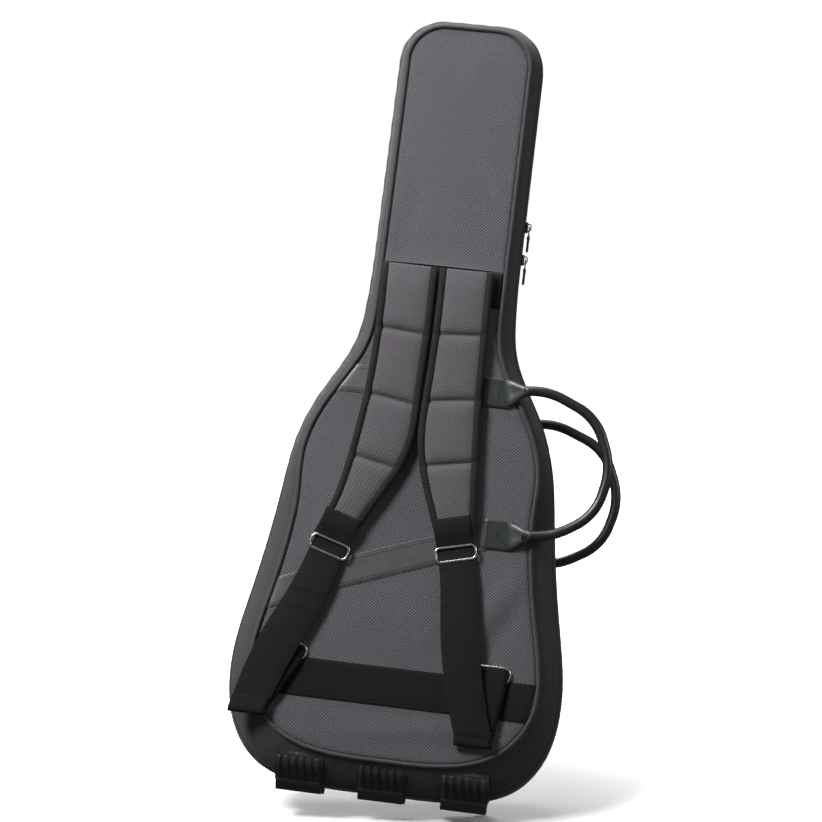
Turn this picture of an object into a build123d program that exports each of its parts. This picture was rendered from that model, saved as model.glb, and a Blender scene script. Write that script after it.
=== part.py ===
"""Padded gig bag for a semi-hollow electric guitar, upright on its rubber feet.

Millimetres.  +Z runs up the bag, the back panel with the shoulder straps faces -Y,
the lid opens towards +Y and the two carry handles stand out towards +X.
The origin is on the floor, under the middle of the bag, in the plane of the zip.
"""
from build123d import *
import os
from math import cos, hypot, radians, sin

os.makedirs("parts", exist_ok=True)

# ---------------------------------------------------------------- driving dimensions
HALF_DEPTH = 60.0        # zip plane to the face of the back panel
SHOULDER_DEPTH = 34.0    # depth at which the gusset has most of its bulge
SHOULDER_BULGE = 0.72    # part of the bulge reached there
ZIP_DEPTH = 6.0          # half the gap between the two gussets, filled by the zip
PANEL_TOP = 1045.0
GUSSET_TOP = 1066.0
PANEL_CORNER = 50.0
GUSSET_CORNER = 60.0
BOUT_CENTRE_Z = 200.0    # the layers of the lower bout are inset towards this height

SKIN = 2.0               # outer fabric
FOAM = 12.0              # padding
LINING = 1.5             # plush lining
HEM_Z = 709.0            # sewn hem between the two back panels, where the straps start

PIPING = 5.0             # piping cord
TAPE_THICK = 1.2         # zip tape
COIL_HALF = 3.0          # half the width of the zip coil
MATE_GAP = 0.15          # each half of the zip stops this far from the zip plane

BAND_THICK = 1.6         # webbing and imitation leather sewn flat on the panel
PAD_STANDOFF = 4.0       # panel face to the underside of a shoulder pad
PAD_THICK = 12.0
PAD_BINDING = 8.0
BINDING_STEP = 2.0       # the binding is this much thinner than the pad
SEWN_INSET = 3.0         # webbing sewn through a link is narrower by this at each edge
WEB_WIDTH = 50.0
WEB_THICK = 2.0
WIRE = 3.0               # wire of the rectangular links
LINK_SIZE = (56.0, 22.0)
LINK_CORNER = 5.0
HANDLE_DIA = 13.0
CLEAR = 0.4              # gap between pieces of different bodies

HINGE_SPAN = (95.0, 265.0)

# Cutting blocks reach past the bag to these planes.
WIDE = (-300.0, 300.0)
BELOW, ABOVE = -10.0, 1200.0
OUTSIDE = 120.0

# Right half of the outline, from the bottom centre up: the panel's edge and the zip line.
BOUT_PANEL = [(0, 52), (80, 55), (134, 71), (168, 100), (188, 160)]
BOUT_ZIP = [(0, 8), (105, 11), (172, 34), (207, 80), (220, 155)]
SIDE_PANEL = [(188, 160), (174, 250), (160, 330), (156, 385), (157, 440),
              (130, 520), (89, 600), (84, 660), (84, 720)]
SIDE_ZIP = [(220, 155), (207, 250), (192, 335), (184, 395), (176, 450),
            (150, 525), (110, 605), (101, 665), (99, 730)]


# ---------------------------------------------------------------- helpers
def at_depth(depth):
    """Plane parallel to the panels, `depth` in front of the zip plane on the strap side."""
    return Plane.XZ.offset(depth)


def between(low, high, share):
    return low + share * (high - low)


def bag_outline(bulge, inset=0.0):
    """Face of the bag's outline: bulge 0 is the panel's edge, 1 is the zip line."""
    bout = []
    for (xp, zp), (xz, zz) in zip(BOUT_PANEL, BOUT_ZIP):
        x, z = between(xp, xz, bulge), between(zp, zz, bulge)
        reach = hypot(x, BOUT_CENTRE_Z - z)
        bout.append((x - inset * x / reach, z + inset * (BOUT_CENTRE_Z - z) / reach))
    side = [bout[-1]]
    for (xp, zp), (xz, zz) in list(zip(SIDE_PANEL, SIDE_ZIP))[1:]:
        side.append((between(xp, xz, bulge) - inset, between(zp, zz, bulge)))
    edge = side[-1][0]
    top = between(PANEL_TOP, GUSSET_TOP, bulge) - inset
    corner = between(PANEL_CORNER, GUSSET_CORNER, bulge) - inset
    with BuildSketch() as face:
        with BuildLine():
            Spline(*bout, tangents=((1, 0), (0, 1)))
            Spline(*side, tangents=((0, 1), (0, 1)))
            Line(side[-1], (edge, top - corner))
            CenterArc((edge - corner, top - corner), corner, 0, 90)
            Line((edge - corner, top), (0, top))
            mirror(about=Plane.YZ)
        make_face()
    return face.sketch


def half_bag(inset, mode=Mode.ADD):
    """Solid half of the bag, from the panel's face to the zip, inset on every side."""
    sections = []
    for depth, bulge in ((HALF_DEPTH - inset, 0), (SHOULDER_DEPTH, SHOULDER_BULGE), (ZIP_DEPTH, 1)):
        with BuildSketch(at_depth(depth)) as section:
            add(bag_outline(bulge, inset))
        sections.append(section.sketch)
    loft(sections, ruled=True, mode=mode)


def ring(bulge, outer, inner, depth, thick):
    """Flat ring along the outline, from `depth` outwards by `thick`."""
    with BuildSketch(at_depth(depth)) as face:
        add(bag_outline(bulge, outer))
        add(bag_outline(bulge, inner), mode=Mode.SUBTRACT)
    extrude(face.sketch, amount=thick)


def block(x, y, z, mode=Mode.ADD):
    """Box between two x, two y and two z values, inside a part block."""
    with Locations(((x[0] + x[1]) / 2, (y[0] + y[1]) / 2, (z[0] + z[1]) / 2)):
        Box(x[1] - x[0], y[1] - y[0], z[1] - z[0], mode=mode)


def plate(points, depth, thick, mode=Mode.ADD):
    """Straight-sided plate through (x, z) points, from `depth` outwards by `thick`."""
    with BuildSketch(at_depth(depth)) as face:
        with BuildLine():
            Polyline(*points, close=True)
        make_face()
    extrude(face.sketch, amount=thick, mode=mode)


def ribbon(left, right, depth, thick):
    """Plate between two smooth edges, each given from top to bottom."""
    with BuildSketch(at_depth(depth)) as face:
        with BuildLine():
            Spline(*left)
            Line(left[-1], right[-1])
            Spline(*right)
            Line(right[0], left[0])
        make_face()
    extrude(face.sketch, amount=thick)


def trim_to_panel():
    """Cut what lies on the panel back to the inside of the piping."""
    with BuildSketch(at_depth(HALF_DEPTH)) as face:
        add(bag_outline(0, PIPING / 2 + CLEAR))
    extrude(face.sketch, amount=OUTSIDE - HALF_DEPTH, mode=Mode.INTERSECT)


def save(part, name):
    part.part.label = name
    export_step(part.part, "parts/" + name + ".step")


def save_lid_copy(part, name):
    """The same piece on the lid's side of the zip plane."""
    with BuildPart() as copy:
        mirror(part.part, about=Plane.XZ)
    save(copy, name)
    return copy


# ---------------------------------------------------------------- shell of the body and the lid
def panel_skin(low, high):
    """Slice of the outer fabric panel between two heights."""
    with BuildPart() as skin:
        half_bag(0)
        block(WIDE, (-HALF_DEPTH + SKIN, 0), (BELOW, ABOVE), Mode.SUBTRACT)
        block(WIDE, (-OUTSIDE, 0), (high, ABOVE), Mode.SUBTRACT)
        block(WIDE, (-OUTSIDE, 0), (BELOW, low), Mode.SUBTRACT)
    return skin


save(panel_skin(HEM_Z, GUSSET_TOP), "back_panel_upper")
save(panel_skin(0, HEM_Z), "back_panel_lower")
save_lid_copy(panel_skin(0, GUSSET_TOP), "front_panel")

with BuildPart() as gusset:
    half_bag(0)
    half_bag(SKIN, Mode.SUBTRACT)
    block(WIDE, (-OUTSIDE, -HALF_DEPTH + SKIN), (BELOW, ABOVE), Mode.SUBTRACT)
save(gusset, "back_gusset")
save_lid_copy(gusset, "front_gusset")

with BuildPart() as padding:
    half_bag(SKIN)
    half_bag(SKIN + FOAM, Mode.SUBTRACT)
save(padding, "back_padding")
save_lid_copy(padding, "front_padding")

with BuildPart() as lining:
    half_bag(SKIN + FOAM)
    half_bag(SKIN + FOAM + LINING, Mode.SUBTRACT)
save(lining, "back_lining")
save_lid_copy(lining, "front_lining")

with BuildPart() as piping:
    ring(0, -PIPING / 2, PIPING / 2, HALF_DEPTH, PIPING - SKIN)
save(piping, "back_piping")
save_lid_copy(piping, "front_piping")

# ---------------------------------------------------------------- zip and fabric hinge
COIL_THICK = 2.4
TAPE_INSET = 0.4         # zip line to the outside of the tape
HINGE_CUT = ((WIDE[0], -150.0), (-20.0, 20.0), HINGE_SPAN)

with BuildPart() as zip_half:
    ring(1, TAPE_INSET, TAPE_INSET + TAPE_THICK, COIL_HALF, ZIP_DEPTH - COIL_HALF)
    ring(1, 0, COIL_THICK, MATE_GAP, COIL_HALF - MATE_GAP)
    block(*HINGE_CUT, Mode.SUBTRACT)
save(zip_half, "body_zip")
save_lid_copy(zip_half, "lid_zip")

with BuildPart() as hinge_strip:
    ring(1, 0, SKIN, MATE_GAP, ZIP_DEPTH - MATE_GAP)
    block(*HINGE_CUT, Mode.INTERSECT)
save(hinge_strip, "body_hinge_strip")
save_lid_copy(hinge_strip, "lid_hinge_strip")

# ---------------------------------------------------------------- bands and patches on the back
SHOULDER_BAND_HALF = 80.0
SHOULDER_BAND_LOW = 660.0
with BuildPart() as shoulder_band:
    plate([(-SHOULDER_BAND_HALF, HEM_Z), (SHOULDER_BAND_HALF, HEM_Z),
           (SHOULDER_BAND_HALF, SHOULDER_BAND_LOW), (-SHOULDER_BAND_HALF, SHOULDER_BAND_LOW)],
          HALF_DEPTH, BAND_THICK)
save(shoulder_band, "shoulder_anchor_band")

LOWER_BAND_TOP = 172.0
LOWER_BAND_HALF = 195.0
RING_X = (-142.0, 124.0)
RING_Z = 179.0
TAB_HALF = 22.0          # half the width of the tab behind each ring
TAB_TOP = RING_Z + 11.0
with BuildPart() as lower_band:
    plate([(-LOWER_BAND_HALF, LOWER_BAND_TOP), (LOWER_BAND_HALF, LOWER_BAND_TOP),
           (LOWER_BAND_HALF, LOWER_BAND_TOP - WEB_WIDTH), (-LOWER_BAND_HALF, LOWER_BAND_TOP - WEB_WIDTH)],
          HALF_DEPTH, BAND_THICK)
    for x in RING_X:
        plate([(x - TAB_HALF, LOWER_BAND_TOP), (x + TAB_HALF, LOWER_BAND_TOP),
               (x + TAB_HALF, TAB_TOP), (x - TAB_HALF, TAB_TOP)], HALF_DEPTH, BAND_THICK)
    trim_to_panel()
save(lower_band, "lower_anchor_band")

UPPER_PATCH = (90.0, 546.0)
LOWER_PATCH = (114.0, 359.0)
PATCH_SIZE = (38.0, 38.0)
PATCH_CORNER = 5.0

with BuildPart() as upper_leather:
    plate([(-140, 565), (70, 565), (70, 527), (-140, 527)], HALF_DEPTH, BAND_THICK)
    trim_to_panel()
save(upper_leather, "upper_reinforcement_band")

with BuildPart() as diagonal_leather:
    plate([(-190, 271), (-110, 296), (20, 345), (94, 371), (94, 335), (35, 311), (-90, 264), (-190, 229)],
          HALF_DEPTH, BAND_THICK)
    trim_to_panel()
save(diagonal_leather, "diagonal_reinforcement_band")


def handle_patch(centre):
    with BuildPart() as patch:
        with BuildSketch(at_depth(HALF_DEPTH)):
            with Locations(centre):
                RectangleRounded(*PATCH_SIZE, PATCH_CORNER)
        extrude(amount=2 * BAND_THICK)
        trim_to_panel()
    return patch


LID_SHIFT = (6.0, -20.0)  # the lid's handle sits a little further out and lower


def shifted(point):
    return point[0] + LID_SHIFT[0], point[1] + LID_SHIFT[1]


for name, centre in (("handle_patch_upper", UPPER_PATCH), ("handle_patch_lower", LOWER_PATCH)):
    save(handle_patch(centre), "back_" + name)
    save_lid_copy(handle_patch(shifted(centre)), "front_" + name)

# ---------------------------------------------------------------- carry handles
HANDLE_DEPTH = HALF_DEPTH + 2 * BAND_THICK + HANDLE_DIA / 2 + CLEAR
HANDLE_ROUTE = [(94, 547), (158, 555), (224, 526), (250, 462), (236, 398), (184, 364), (120, 359)]
LID_HANDLE_ROUTE = [(100, 527), (170, 536), (240, 508), (268, 442), (250, 376), (194, 343), (126, 339)]
HANDLE_RADII = [85, 70, 88, 70, 95]


def carry_handle(points):
    """Round leather tube along straight runs joined by tangent arcs."""
    with BuildPart() as handle:
        with BuildLine(at_depth(HANDLE_DEPTH)) as route:
            FilletPolyline(*points, radius=HANDLE_RADII)
        with BuildSketch(Plane(origin=route.line @ 0, z_dir=route.line % 0)):
            Circle(HANDLE_DIA / 2)
        sweep()
    return handle


save(carry_handle(HANDLE_ROUTE), "back_handle")
save_lid_copy(carry_handle(LID_HANDLE_ROUTE), "front_handle")

# ---------------------------------------------------------------- rubber feet
FOOT_WIDTH = 62.0
FOOT_PITCH = 108.0
FOOT_OUTER = 53.0        # how far a foot reaches from the zip plane
FOOT_SOLE = 24.0         # outer edge of the flat sole
FOOT_RISE = 34.0         # height where the slanted face meets the upright one
FOOT_LIP = 48.0          # height of the upper edge
FOOT_INNER = 10.0        # inner end of the sole
TONGUE_REACH = 8.0       # the middle foot's sole runs on under the zip by this much
TONGUE_ROOT = 12.0       # length of the tongue inside the foot
TONGUE_THICK = 6.0
TONGUE_GAP = 1.0


def foot(x, tongue=False):
    """Wedge between the floor and the sloping bottom of the gusset."""
    with BuildPart() as wedge:
        with BuildSketch(Plane.YZ.offset(x - FOOT_WIDTH / 2)):
            with BuildLine():
                Polyline((-FOOT_INNER, 0), (-FOOT_SOLE, 0), (-FOOT_OUTER, FOOT_RISE),
                         (-FOOT_OUTER, FOOT_LIP), (-FOOT_INNER, FOOT_LIP), close=True)
            make_face()
        extrude(amount=FOOT_WIDTH)
        half_bag(0, Mode.SUBTRACT)
        if tongue:
            block((x - FOOT_WIDTH / 4, x + FOOT_WIDTH / 4), (-FOOT_INNER - TONGUE_ROOT, TONGUE_REACH),
                  (0, TONGUE_THICK))
    return wedge


save(foot(0, tongue=True), "back_foot_centre")
with BuildPart() as front_centre:
    add(foot(0).part)
    block((-FOOT_WIDTH, FOOT_WIDTH), (-FOOT_INNER - TONGUE_REACH - TONGUE_GAP, 0),
          (BELOW, TONGUE_THICK + TONGUE_GAP), Mode.SUBTRACT)
save_lid_copy(front_centre, "front_foot_centre")
for side, sign in (("left", -1), ("right", 1)):
    save(foot(sign * FOOT_PITCH), "back_foot_" + side)
    save_lid_copy(foot(sign * FOOT_PITCH), "front_foot_" + side)

# ---------------------------------------------------------------- shoulder straps
PAD_BACK = HALF_DEPTH + PAD_STANDOFF
PADS = {
    "left": {
        "outer": [(-82, 705), (-80, 620), (-83, 535), (-93, 450), (-106, 372)],
        "inner": [(-7, 705), (-6, 620), (-8, 535), (-15, 450), (-66, 357)],
        "link": (-103, 318), "tilt": -17,
        "front_left": [(-130, 302), (-154, 247), (-176, 200), (-205, 106)],
        "front_right": [(-83, 288), (-106, 230), (-128, 180), (-156, 106)],
        "loop": ((-207, -158), 92), "ring": (RING_X[0], RING_Z),
    },
    "right": {
        "outer": [(-4, 705), (-3, 620), (-5, 540), (-4, 460), (24, 366)],
        "inner": [(68, 705), (70, 620), (72, 540), (77, 460), (74, 382)],
        "link": (62, 328), "tilt": 14,
        "front_left": [(47, 298), (55, 223), (66, 168), (87, 97)],
        "front_right": [(94, 310), (105, 229), (116, 168), (136, 97)],
        "loop": ((88, 137), 84), "ring": (RING_X[1], RING_Z),
    },
}


def pad_face(pad, inset=0.0):
    """Outline of a shoulder pad, narrower by `inset` at both sides and at its lower end."""
    edges = []
    for key, sign in (("outer", 1), ("inner", -1)):
        points = [(x + sign * inset, z) for x, z in pad[key][:-1]]
        x, z = pad[key][-1]
        edges.append(points + [(x + sign * inset, z + inset)])
    outer, inner = edges
    with BuildSketch() as face:
        with BuildLine():
            Spline(*outer)
            Line(outer[-1], inner[-1])
            Spline(*inner)
            Line(inner[0], outer[0])
        make_face()
    return face.sketch


def link_frame(centre, tilt, depth):
    """Rectangular wire link lying in the plane of the strap."""
    plane = Plane(origin=(centre[0], -depth, centre[1]),
                  x_dir=(cos(radians(tilt)), 0, sin(radians(tilt))), z_dir=(0, -1, 0))
    width, height = LINK_SIZE
    with BuildPart() as wire:
        with BuildSketch(plane):
            RectangleRounded(width, height, LINK_CORNER)
            RectangleRounded(width - 2 * WIRE, height - 2 * WIRE, LINK_CORNER / 2, mode=Mode.SUBTRACT)
        extrude(amount=WIRE / 2, both=True)
    return wire


def strap(side, pad):
    name = side + "_pad"
    with BuildPart() as body:
        with BuildSketch(at_depth(PAD_BACK)):
            add(pad_face(pad, PAD_BINDING))
        extrude(amount=PAD_THICK)
    save(body, name)

    with BuildPart() as binding:
        with BuildSketch(at_depth(PAD_BACK)):
            add(pad_face(pad))
            add(pad_face(pad, PAD_BINDING), mode=Mode.SUBTRACT)
        extrude(amount=PAD_THICK - BINDING_STEP)
    save(binding, name + "_binding")

    depth = PAD_BACK + PAD_THICK / 2
    x, z = pad["link"]
    up = (-sin(radians(pad["tilt"])), cos(radians(pad["tilt"])))
    across = (up[1], -up[0])
    half, low = WEB_WIDTH / 2 - SEWN_INSET, LINK_SIZE[1] / 2
    bar = low + 2 * CLEAR
    with BuildPart() as patch:
        plate([pad["outer"][-1], pad["inner"][-1],
               (x + half * across[0] + bar * up[0], z + half * across[1] + bar * up[1]),
               (x - half * across[0] + bar * up[0], z - half * across[1] + bar * up[1])],
              depth - WEB_THICK, 2 * WEB_THICK)
    save(patch, name + "_patch")
    save(link_frame(pad["link"], pad["tilt"], depth), side + "_strap_link")

    with BuildPart() as front_run:
        ribbon(pad["front_left"], pad["front_right"], depth - WEB_THICK / 2, WEB_THICK)
        plate([pad["front_left"][0], pad["front_right"][0],
               (x + half * across[0] - low * up[0], z + half * across[1] - low * up[1]),
               (x - half * across[0] - low * up[0], z - half * across[1] - low * up[1])],
              depth - WEB_THICK / 2, WEB_THICK)
    save(front_run, side + "_webbing_front")

    (left, right), turn = pad["loop"]
    rx, rz = pad["ring"]
    end, top = WEB_WIDTH / 2 - 1, rz + LINK_SIZE[1] / 2 - 2
    ring_depth = HALF_DEPTH + BAND_THICK + 2 * CLEAR + WIRE / 2
    back = ring_depth + WIRE / 2 + CLEAR
    with BuildPart() as back_run:
        plate([(left, turn - CLEAR), (right, turn - CLEAR), (rx + end, top), (rx - end, top)],
              back, WEB_THICK)
        block((left, right), (-depth - WEB_THICK / 2, -back), (turn - WEB_THICK - CLEAR, turn - CLEAR))
    save(back_run, side + "_webbing_back")
    save(link_frame((rx, rz), 0, ring_depth), side + "_ring")


for side, pad in PADS.items():
    strap(side, pad)

# ---------------------------------------------------------------- main zip sliders and pulls
SLIDER_X = 99.0 + CLEAR
SLIDER_SIZE = (4.5, 13.0, 14.0)
BRIDGE_SIZE = (4.5, 3.0, 10.0)
BRIDGE_HOLE = (2.6, 4.0, 3.0)
OVERCUT = 0.01
PULL_LINK = (9.0, 15.0)
PULL_TAB = (10.0, 21.0)
PULL_TAB_THICK = 3.2
PULL_WIRE = 1.6
PULL_AXIS = 1.2          # height of the bail's bar above the slider's middle
PULL_X = SLIDER_X + SLIDER_SIZE[0] + 1.3


def slider(z):
    with BuildPart() as body:
        block((SLIDER_X, SLIDER_X + SLIDER_SIZE[0]), (-SLIDER_SIZE[1] / 2, SLIDER_SIZE[1] / 2),
              (z - SLIDER_SIZE[2] / 2, z + SLIDER_SIZE[2] / 2))
        fillet(body.edges().filter_by(Axis.X), 3)
        outer = SLIDER_X + SLIDER_SIZE[0]
        high, wide, tall = BRIDGE_SIZE
        block((outer, outer + high), (-wide / 2, wide / 2), (z - tall / 2, z + tall / 2))
        high, wide, tall = BRIDGE_HOLE
        block((outer - OVERCUT, outer + high), (-wide / 2, wide / 2),
              (z + PULL_AXIS - tall / 2, z + PULL_AXIS + tall / 2), Mode.SUBTRACT)
    return body


def pull_link(z):
    """Wire bail through the slider's bridge, hanging down the side of the bag."""
    with BuildPart() as bail:
        with BuildSketch(Plane.YZ.offset(PULL_X - PULL_WIRE / 2)):
            with Locations((0, z + PULL_AXIS + (PULL_WIRE - PULL_LINK[1]) / 2)):
                RectangleRounded(*PULL_LINK, 3)
                RectangleRounded(PULL_LINK[0] - 2 * PULL_WIRE, PULL_LINK[1] - 2 * PULL_WIRE, 1.8,
                                 mode=Mode.SUBTRACT)
        extrude(amount=PULL_WIRE)
    return bail


def pull_tab(z):
    with BuildPart() as tab:
        with BuildSketch(Plane.YZ.offset(PULL_X - PULL_TAB_THICK / 2)):
            with Locations((0, z + PULL_AXIS + PULL_WIRE / 2 - PULL_LINK[1] - PULL_TAB[1] / 2)):
                RectangleRounded(*PULL_TAB, 2.5)
        extrude(amount=PULL_TAB_THICK)
    return tab


SLIDERS = {"upper": 790.0, "lower": 744.0}
for which, height in SLIDERS.items():
    save(slider(height), "main_slider_" + which)
    save(pull_link(height), "main_pull_link_" + which)
    save(pull_tab(height), "main_pull_tab_" + which)

# ---------------------------------------------------------------- front pocket
POCKET_TOP = 312.0
POCKET_BOTTOM = 118.0
POCKET_DEPTH = 16.0
POCKET_WALL = 2.0
POCKET_MOUTH = ((-115.0, 115.0), (276.0, 288.0))
POCKET_INSET = 24.0
POCKET_FRONT = HALF_DEPTH + POCKET_DEPTH


def pocket_face(wall=0.0):
    """The lower bout's outline cut off straight at the pocket's top and bottom."""
    height = POCKET_TOP - POCKET_BOTTOM - 2 * wall
    with BuildSketch() as face:
        add(bag_outline(0, POCKET_INSET + wall))
        with Locations((0, (POCKET_TOP + POCKET_BOTTOM) / 2)):
            Rectangle(WIDE[1] - WIDE[0], height, mode=Mode.INTERSECT)
    return face.sketch


with BuildPart() as pocket_rim:
    with BuildSketch(at_depth(HALF_DEPTH)):
        add(pocket_face())
        add(pocket_face(POCKET_WALL), mode=Mode.SUBTRACT)
    extrude(amount=POCKET_DEPTH)
save_lid_copy(pocket_rim, "pocket_gusset")

with BuildPart() as pocket_panel:
    with BuildSketch(at_depth(POCKET_FRONT)):
        add(pocket_face())
    extrude(amount=POCKET_WALL)
    block(POCKET_MOUTH[0], (-OUTSIDE, 0), POCKET_MOUTH[1], Mode.SUBTRACT)
save_lid_copy(pocket_panel, "pocket_panel")

with BuildPart() as pocket_zip:
    block(POCKET_MOUTH[0], (-POCKET_FRONT - CLEAR - TAPE_THICK, -POCKET_FRONT - CLEAR), POCKET_MOUTH[1])
save_lid_copy(pocket_zip, "pocket_zip")

POCKET_SLIDER = (-100.0, 282.0)
POCKET_SLIDER_SIZE = (14.0, 4.0, 10.0)
POCKET_TAB = (9.0, 36.0)
POCKET_TAB_THICK = 2.5
SLIDER_FACE = POCKET_FRONT + POCKET_WALL + CLEAR
with BuildPart() as pocket_slider:
    x, z = POCKET_SLIDER
    wide, thick, tall = POCKET_SLIDER_SIZE
    block((x - wide / 2, x + wide / 2), (-SLIDER_FACE - thick, -SLIDER_FACE), (z - tall / 2, z + tall / 2))
    fillet(pocket_slider.edges().filter_by(Axis.Y), 2.5)
save_lid_copy(pocket_slider, "pocket_slider")

with BuildPart() as pocket_pull:
    with BuildSketch(at_depth(SLIDER_FACE + POCKET_SLIDER_SIZE[1] + 2 * CLEAR)):
        with Locations((x, z + 0.6 - POCKET_TAB[1] / 2)):
            RectangleRounded(*POCKET_TAB, 3)
    extrude(amount=POCKET_TAB_THICK)
save_lid_copy(pocket_pull, "pocket_pull")

# ---------------------------------------------------------------- inside the body
INNER_DEPTH = HALF_DEPTH - SKIN - FOAM - LINING
CRADLE_X = (-48.0, 48.0)
CRADLE_Z = (700.0, 770.0)
CRADLE_RISE = 34.0
NOTCH_HALF = 27.0        # half the width of the notch for the guitar's neck
NOTCH_FLOOR = 14.0       # padding left under the neck
STRAP_REACH = 45.0
STRAP_Z = (720.0, 750.0)
STRAP_THICK = 2.5
with BuildPart() as cradle:
    block(CRADLE_X, (-INNER_DEPTH, -INNER_DEPTH + CRADLE_RISE), CRADLE_Z)
    block((-NOTCH_HALF, NOTCH_HALF), (-INNER_DEPTH + NOTCH_FLOOR, 0), CRADLE_Z, Mode.SUBTRACT)
    fillet(cradle.edges().filter_by(Axis.Z).sort_by(Axis.Y)[-4:], 4)
save(cradle, "neck_cradle")

STRAP_FACE = -INNER_DEPTH + CRADLE_RISE + CLEAR
for side, sign in (("left", -1), ("right", 1)):
    with BuildPart() as neck_strap:
        block(sorted((sign * STRAP_REACH, sign * CLEAR)), (STRAP_FACE, STRAP_FACE + STRAP_THICK), STRAP_Z)
    save(neck_strap, "neck_strap_" + side)
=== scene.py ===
"""Looks of the padded gig bag: sewn shell, quilted straps, leather, metal and zip.

Every length below is in millimetres, and mesh_object() turns it into metres.
-Y is the strap side, called back; the lid is the same shell on the +Y side.
"""
import math

import bmesh
import bpy
import numpy as np
from mathutils import Matrix, Vector


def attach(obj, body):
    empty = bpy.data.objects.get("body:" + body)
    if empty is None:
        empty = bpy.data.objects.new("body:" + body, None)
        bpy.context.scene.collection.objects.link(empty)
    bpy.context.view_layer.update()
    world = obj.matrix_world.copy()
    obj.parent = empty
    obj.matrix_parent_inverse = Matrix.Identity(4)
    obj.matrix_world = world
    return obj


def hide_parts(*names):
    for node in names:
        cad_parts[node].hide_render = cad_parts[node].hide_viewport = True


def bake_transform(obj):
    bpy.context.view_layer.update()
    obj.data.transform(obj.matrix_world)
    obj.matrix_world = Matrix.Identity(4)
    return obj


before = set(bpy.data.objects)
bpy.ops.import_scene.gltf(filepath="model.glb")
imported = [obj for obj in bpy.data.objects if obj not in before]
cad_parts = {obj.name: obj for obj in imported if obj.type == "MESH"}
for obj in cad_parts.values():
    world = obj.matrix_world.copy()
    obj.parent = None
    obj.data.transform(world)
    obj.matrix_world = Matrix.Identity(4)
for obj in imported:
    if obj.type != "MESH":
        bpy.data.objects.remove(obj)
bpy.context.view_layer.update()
MM = 0.001
BACK, LID = -1, 1        # the sign of Y on each side of the zip

# ---------------------------------------------------------------- driving sizes, as the frame has them
HALF_DEPTH = 60.0
ZIP_DEPTH = 6.0
PANEL_TOP, GUSSET_TOP = 1045.0, 1066.0
PANEL_CORNER, GUSSET_CORNER = 50.0, 60.0
HEM_Z = 709.0
PAD_MIDDLE = 70.0        # depth of the middle of the shoulder straps
INNER_DEPTH = 44.5       # depth of the lining
SHELL_THICK = 15.5       # fabric, foam and lining together
HINGE_SPAN = (95.0, 265.0)

BOUT_PANEL = [(0, 52), (80, 55), (134, 71), (168, 100), (188, 160)]
BOUT_ZIP = [(0, 8), (105, 11), (172, 34), (207, 80), (220, 155)]
SIDE_PANEL = [(188, 160), (174, 250), (160, 330), (156, 385), (157, 440),
              (130, 520), (89, 600), (84, 660), (84, 720)]
SIDE_ZIP = [(220, 155), (207, 250), (192, 335), (184, 395), (176, 450),
            (150, 525), (110, 605), (101, 665), (99, 730)]


# ---------------------------------------------------------------- curves
def smooth_curve(points, count, start=None, end=None):
    """C2 curve through the points; start and end are its directions there, if they matter."""
    p = np.array(points, float)
    chord = np.linalg.norm(np.diff(p, axis=0), axis=1)
    knots = np.concatenate([[0], np.cumsum(chord)])
    n = len(p)
    system, right = np.zeros((n, n)), np.zeros_like(p)
    for i in range(1, n - 1):
        before, after = chord[i - 1], chord[i]
        system[i, i - 1:i + 2] = after, 2 * (before + after), before
        right[i] = 3 * (after / before * (p[i] - p[i - 1]) + before / after * (p[i + 1] - p[i]))
    for i, k, direction in ((0, 1, start), (n - 1, n - 2, end)):
        system[i, i] = 1 if direction is not None else 2
        if direction is None:
            system[i, k] = 1
            right[i] = 3 * (p[max(i, k)] - p[min(i, k)]) / np.linalg.norm(p[i] - p[k])
        else:
            right[i] = direction
    slope = np.linalg.solve(system, right)
    s = np.linspace(0, knots[-1], count)
    i = np.clip(np.searchsorted(knots, s, "right") - 1, 0, n - 2)
    h, u = chord[i][:, None], ((s - knots[i]) / chord[i])[:, None]
    return ((1 + 2 * u) * (1 - u) ** 2 * p[i] + u * (1 - u) ** 2 * h * slope[i]
            + u * u * (3 - 2 * u) * p[i + 1] - u * u * (1 - u) * h * slope[i + 1])


def half_outline(bout, side, top, corner):
    """Right half of the outline, from the bottom centre to the top centre."""
    edge = side[-1][0]
    turn = np.linspace(0, math.pi / 2, 20)
    arc = np.column_stack([edge - corner + corner * np.cos(turn), top - corner + corner * np.sin(turn)])
    line = np.column_stack([np.full(80, edge), np.linspace(side[-1][1], top - corner, 80)])
    across = np.column_stack([np.linspace(edge - corner, 0, 10), np.full(10, top)])
    return np.vstack([smooth_curve(bout, 60, (1, 0), (0, 1))[:-1],
                      smooth_curve(side, 160, (0, 1), (0, 1))[:-1], line[:-1], arc[:-1], across])


HALF_PANEL = half_outline(BOUT_PANEL, SIDE_PANEL, PANEL_TOP, PANEL_CORNER)
HALF_ZIP = half_outline(BOUT_ZIP, SIDE_ZIP, GUSSET_TOP, GUSSET_CORNER)
ARC_END = len(HALF_PANEL) - 10      # index where the top line starts


def closed(half):
    """Whole loop, with its first point repeated at the end."""
    return np.vstack([half, half[-2::-1] * (-1, 1)])


PANEL_LOOP, ZIP_LOOP = closed(HALF_PANEL), closed(HALF_ZIP)


def inward(path):
    """Unit normals to the left of an (x, z) path, which is inwards on the outline."""
    ends_meet = np.allclose(path[0], path[-1])
    padded = np.vstack([path[-2] if ends_meet else path[0], path, path[1] if ends_meet else path[-1]])
    run = padded[2:] - padded[:-2]
    normal = np.column_stack([-run[:, 1], run[:, 0]])
    return normal / np.maximum(np.linalg.norm(normal, axis=1), 1e-9)[:, None]


def lengths(path):
    return np.concatenate([[0], np.cumsum(np.linalg.norm(np.diff(path, axis=0), axis=1))])


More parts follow.
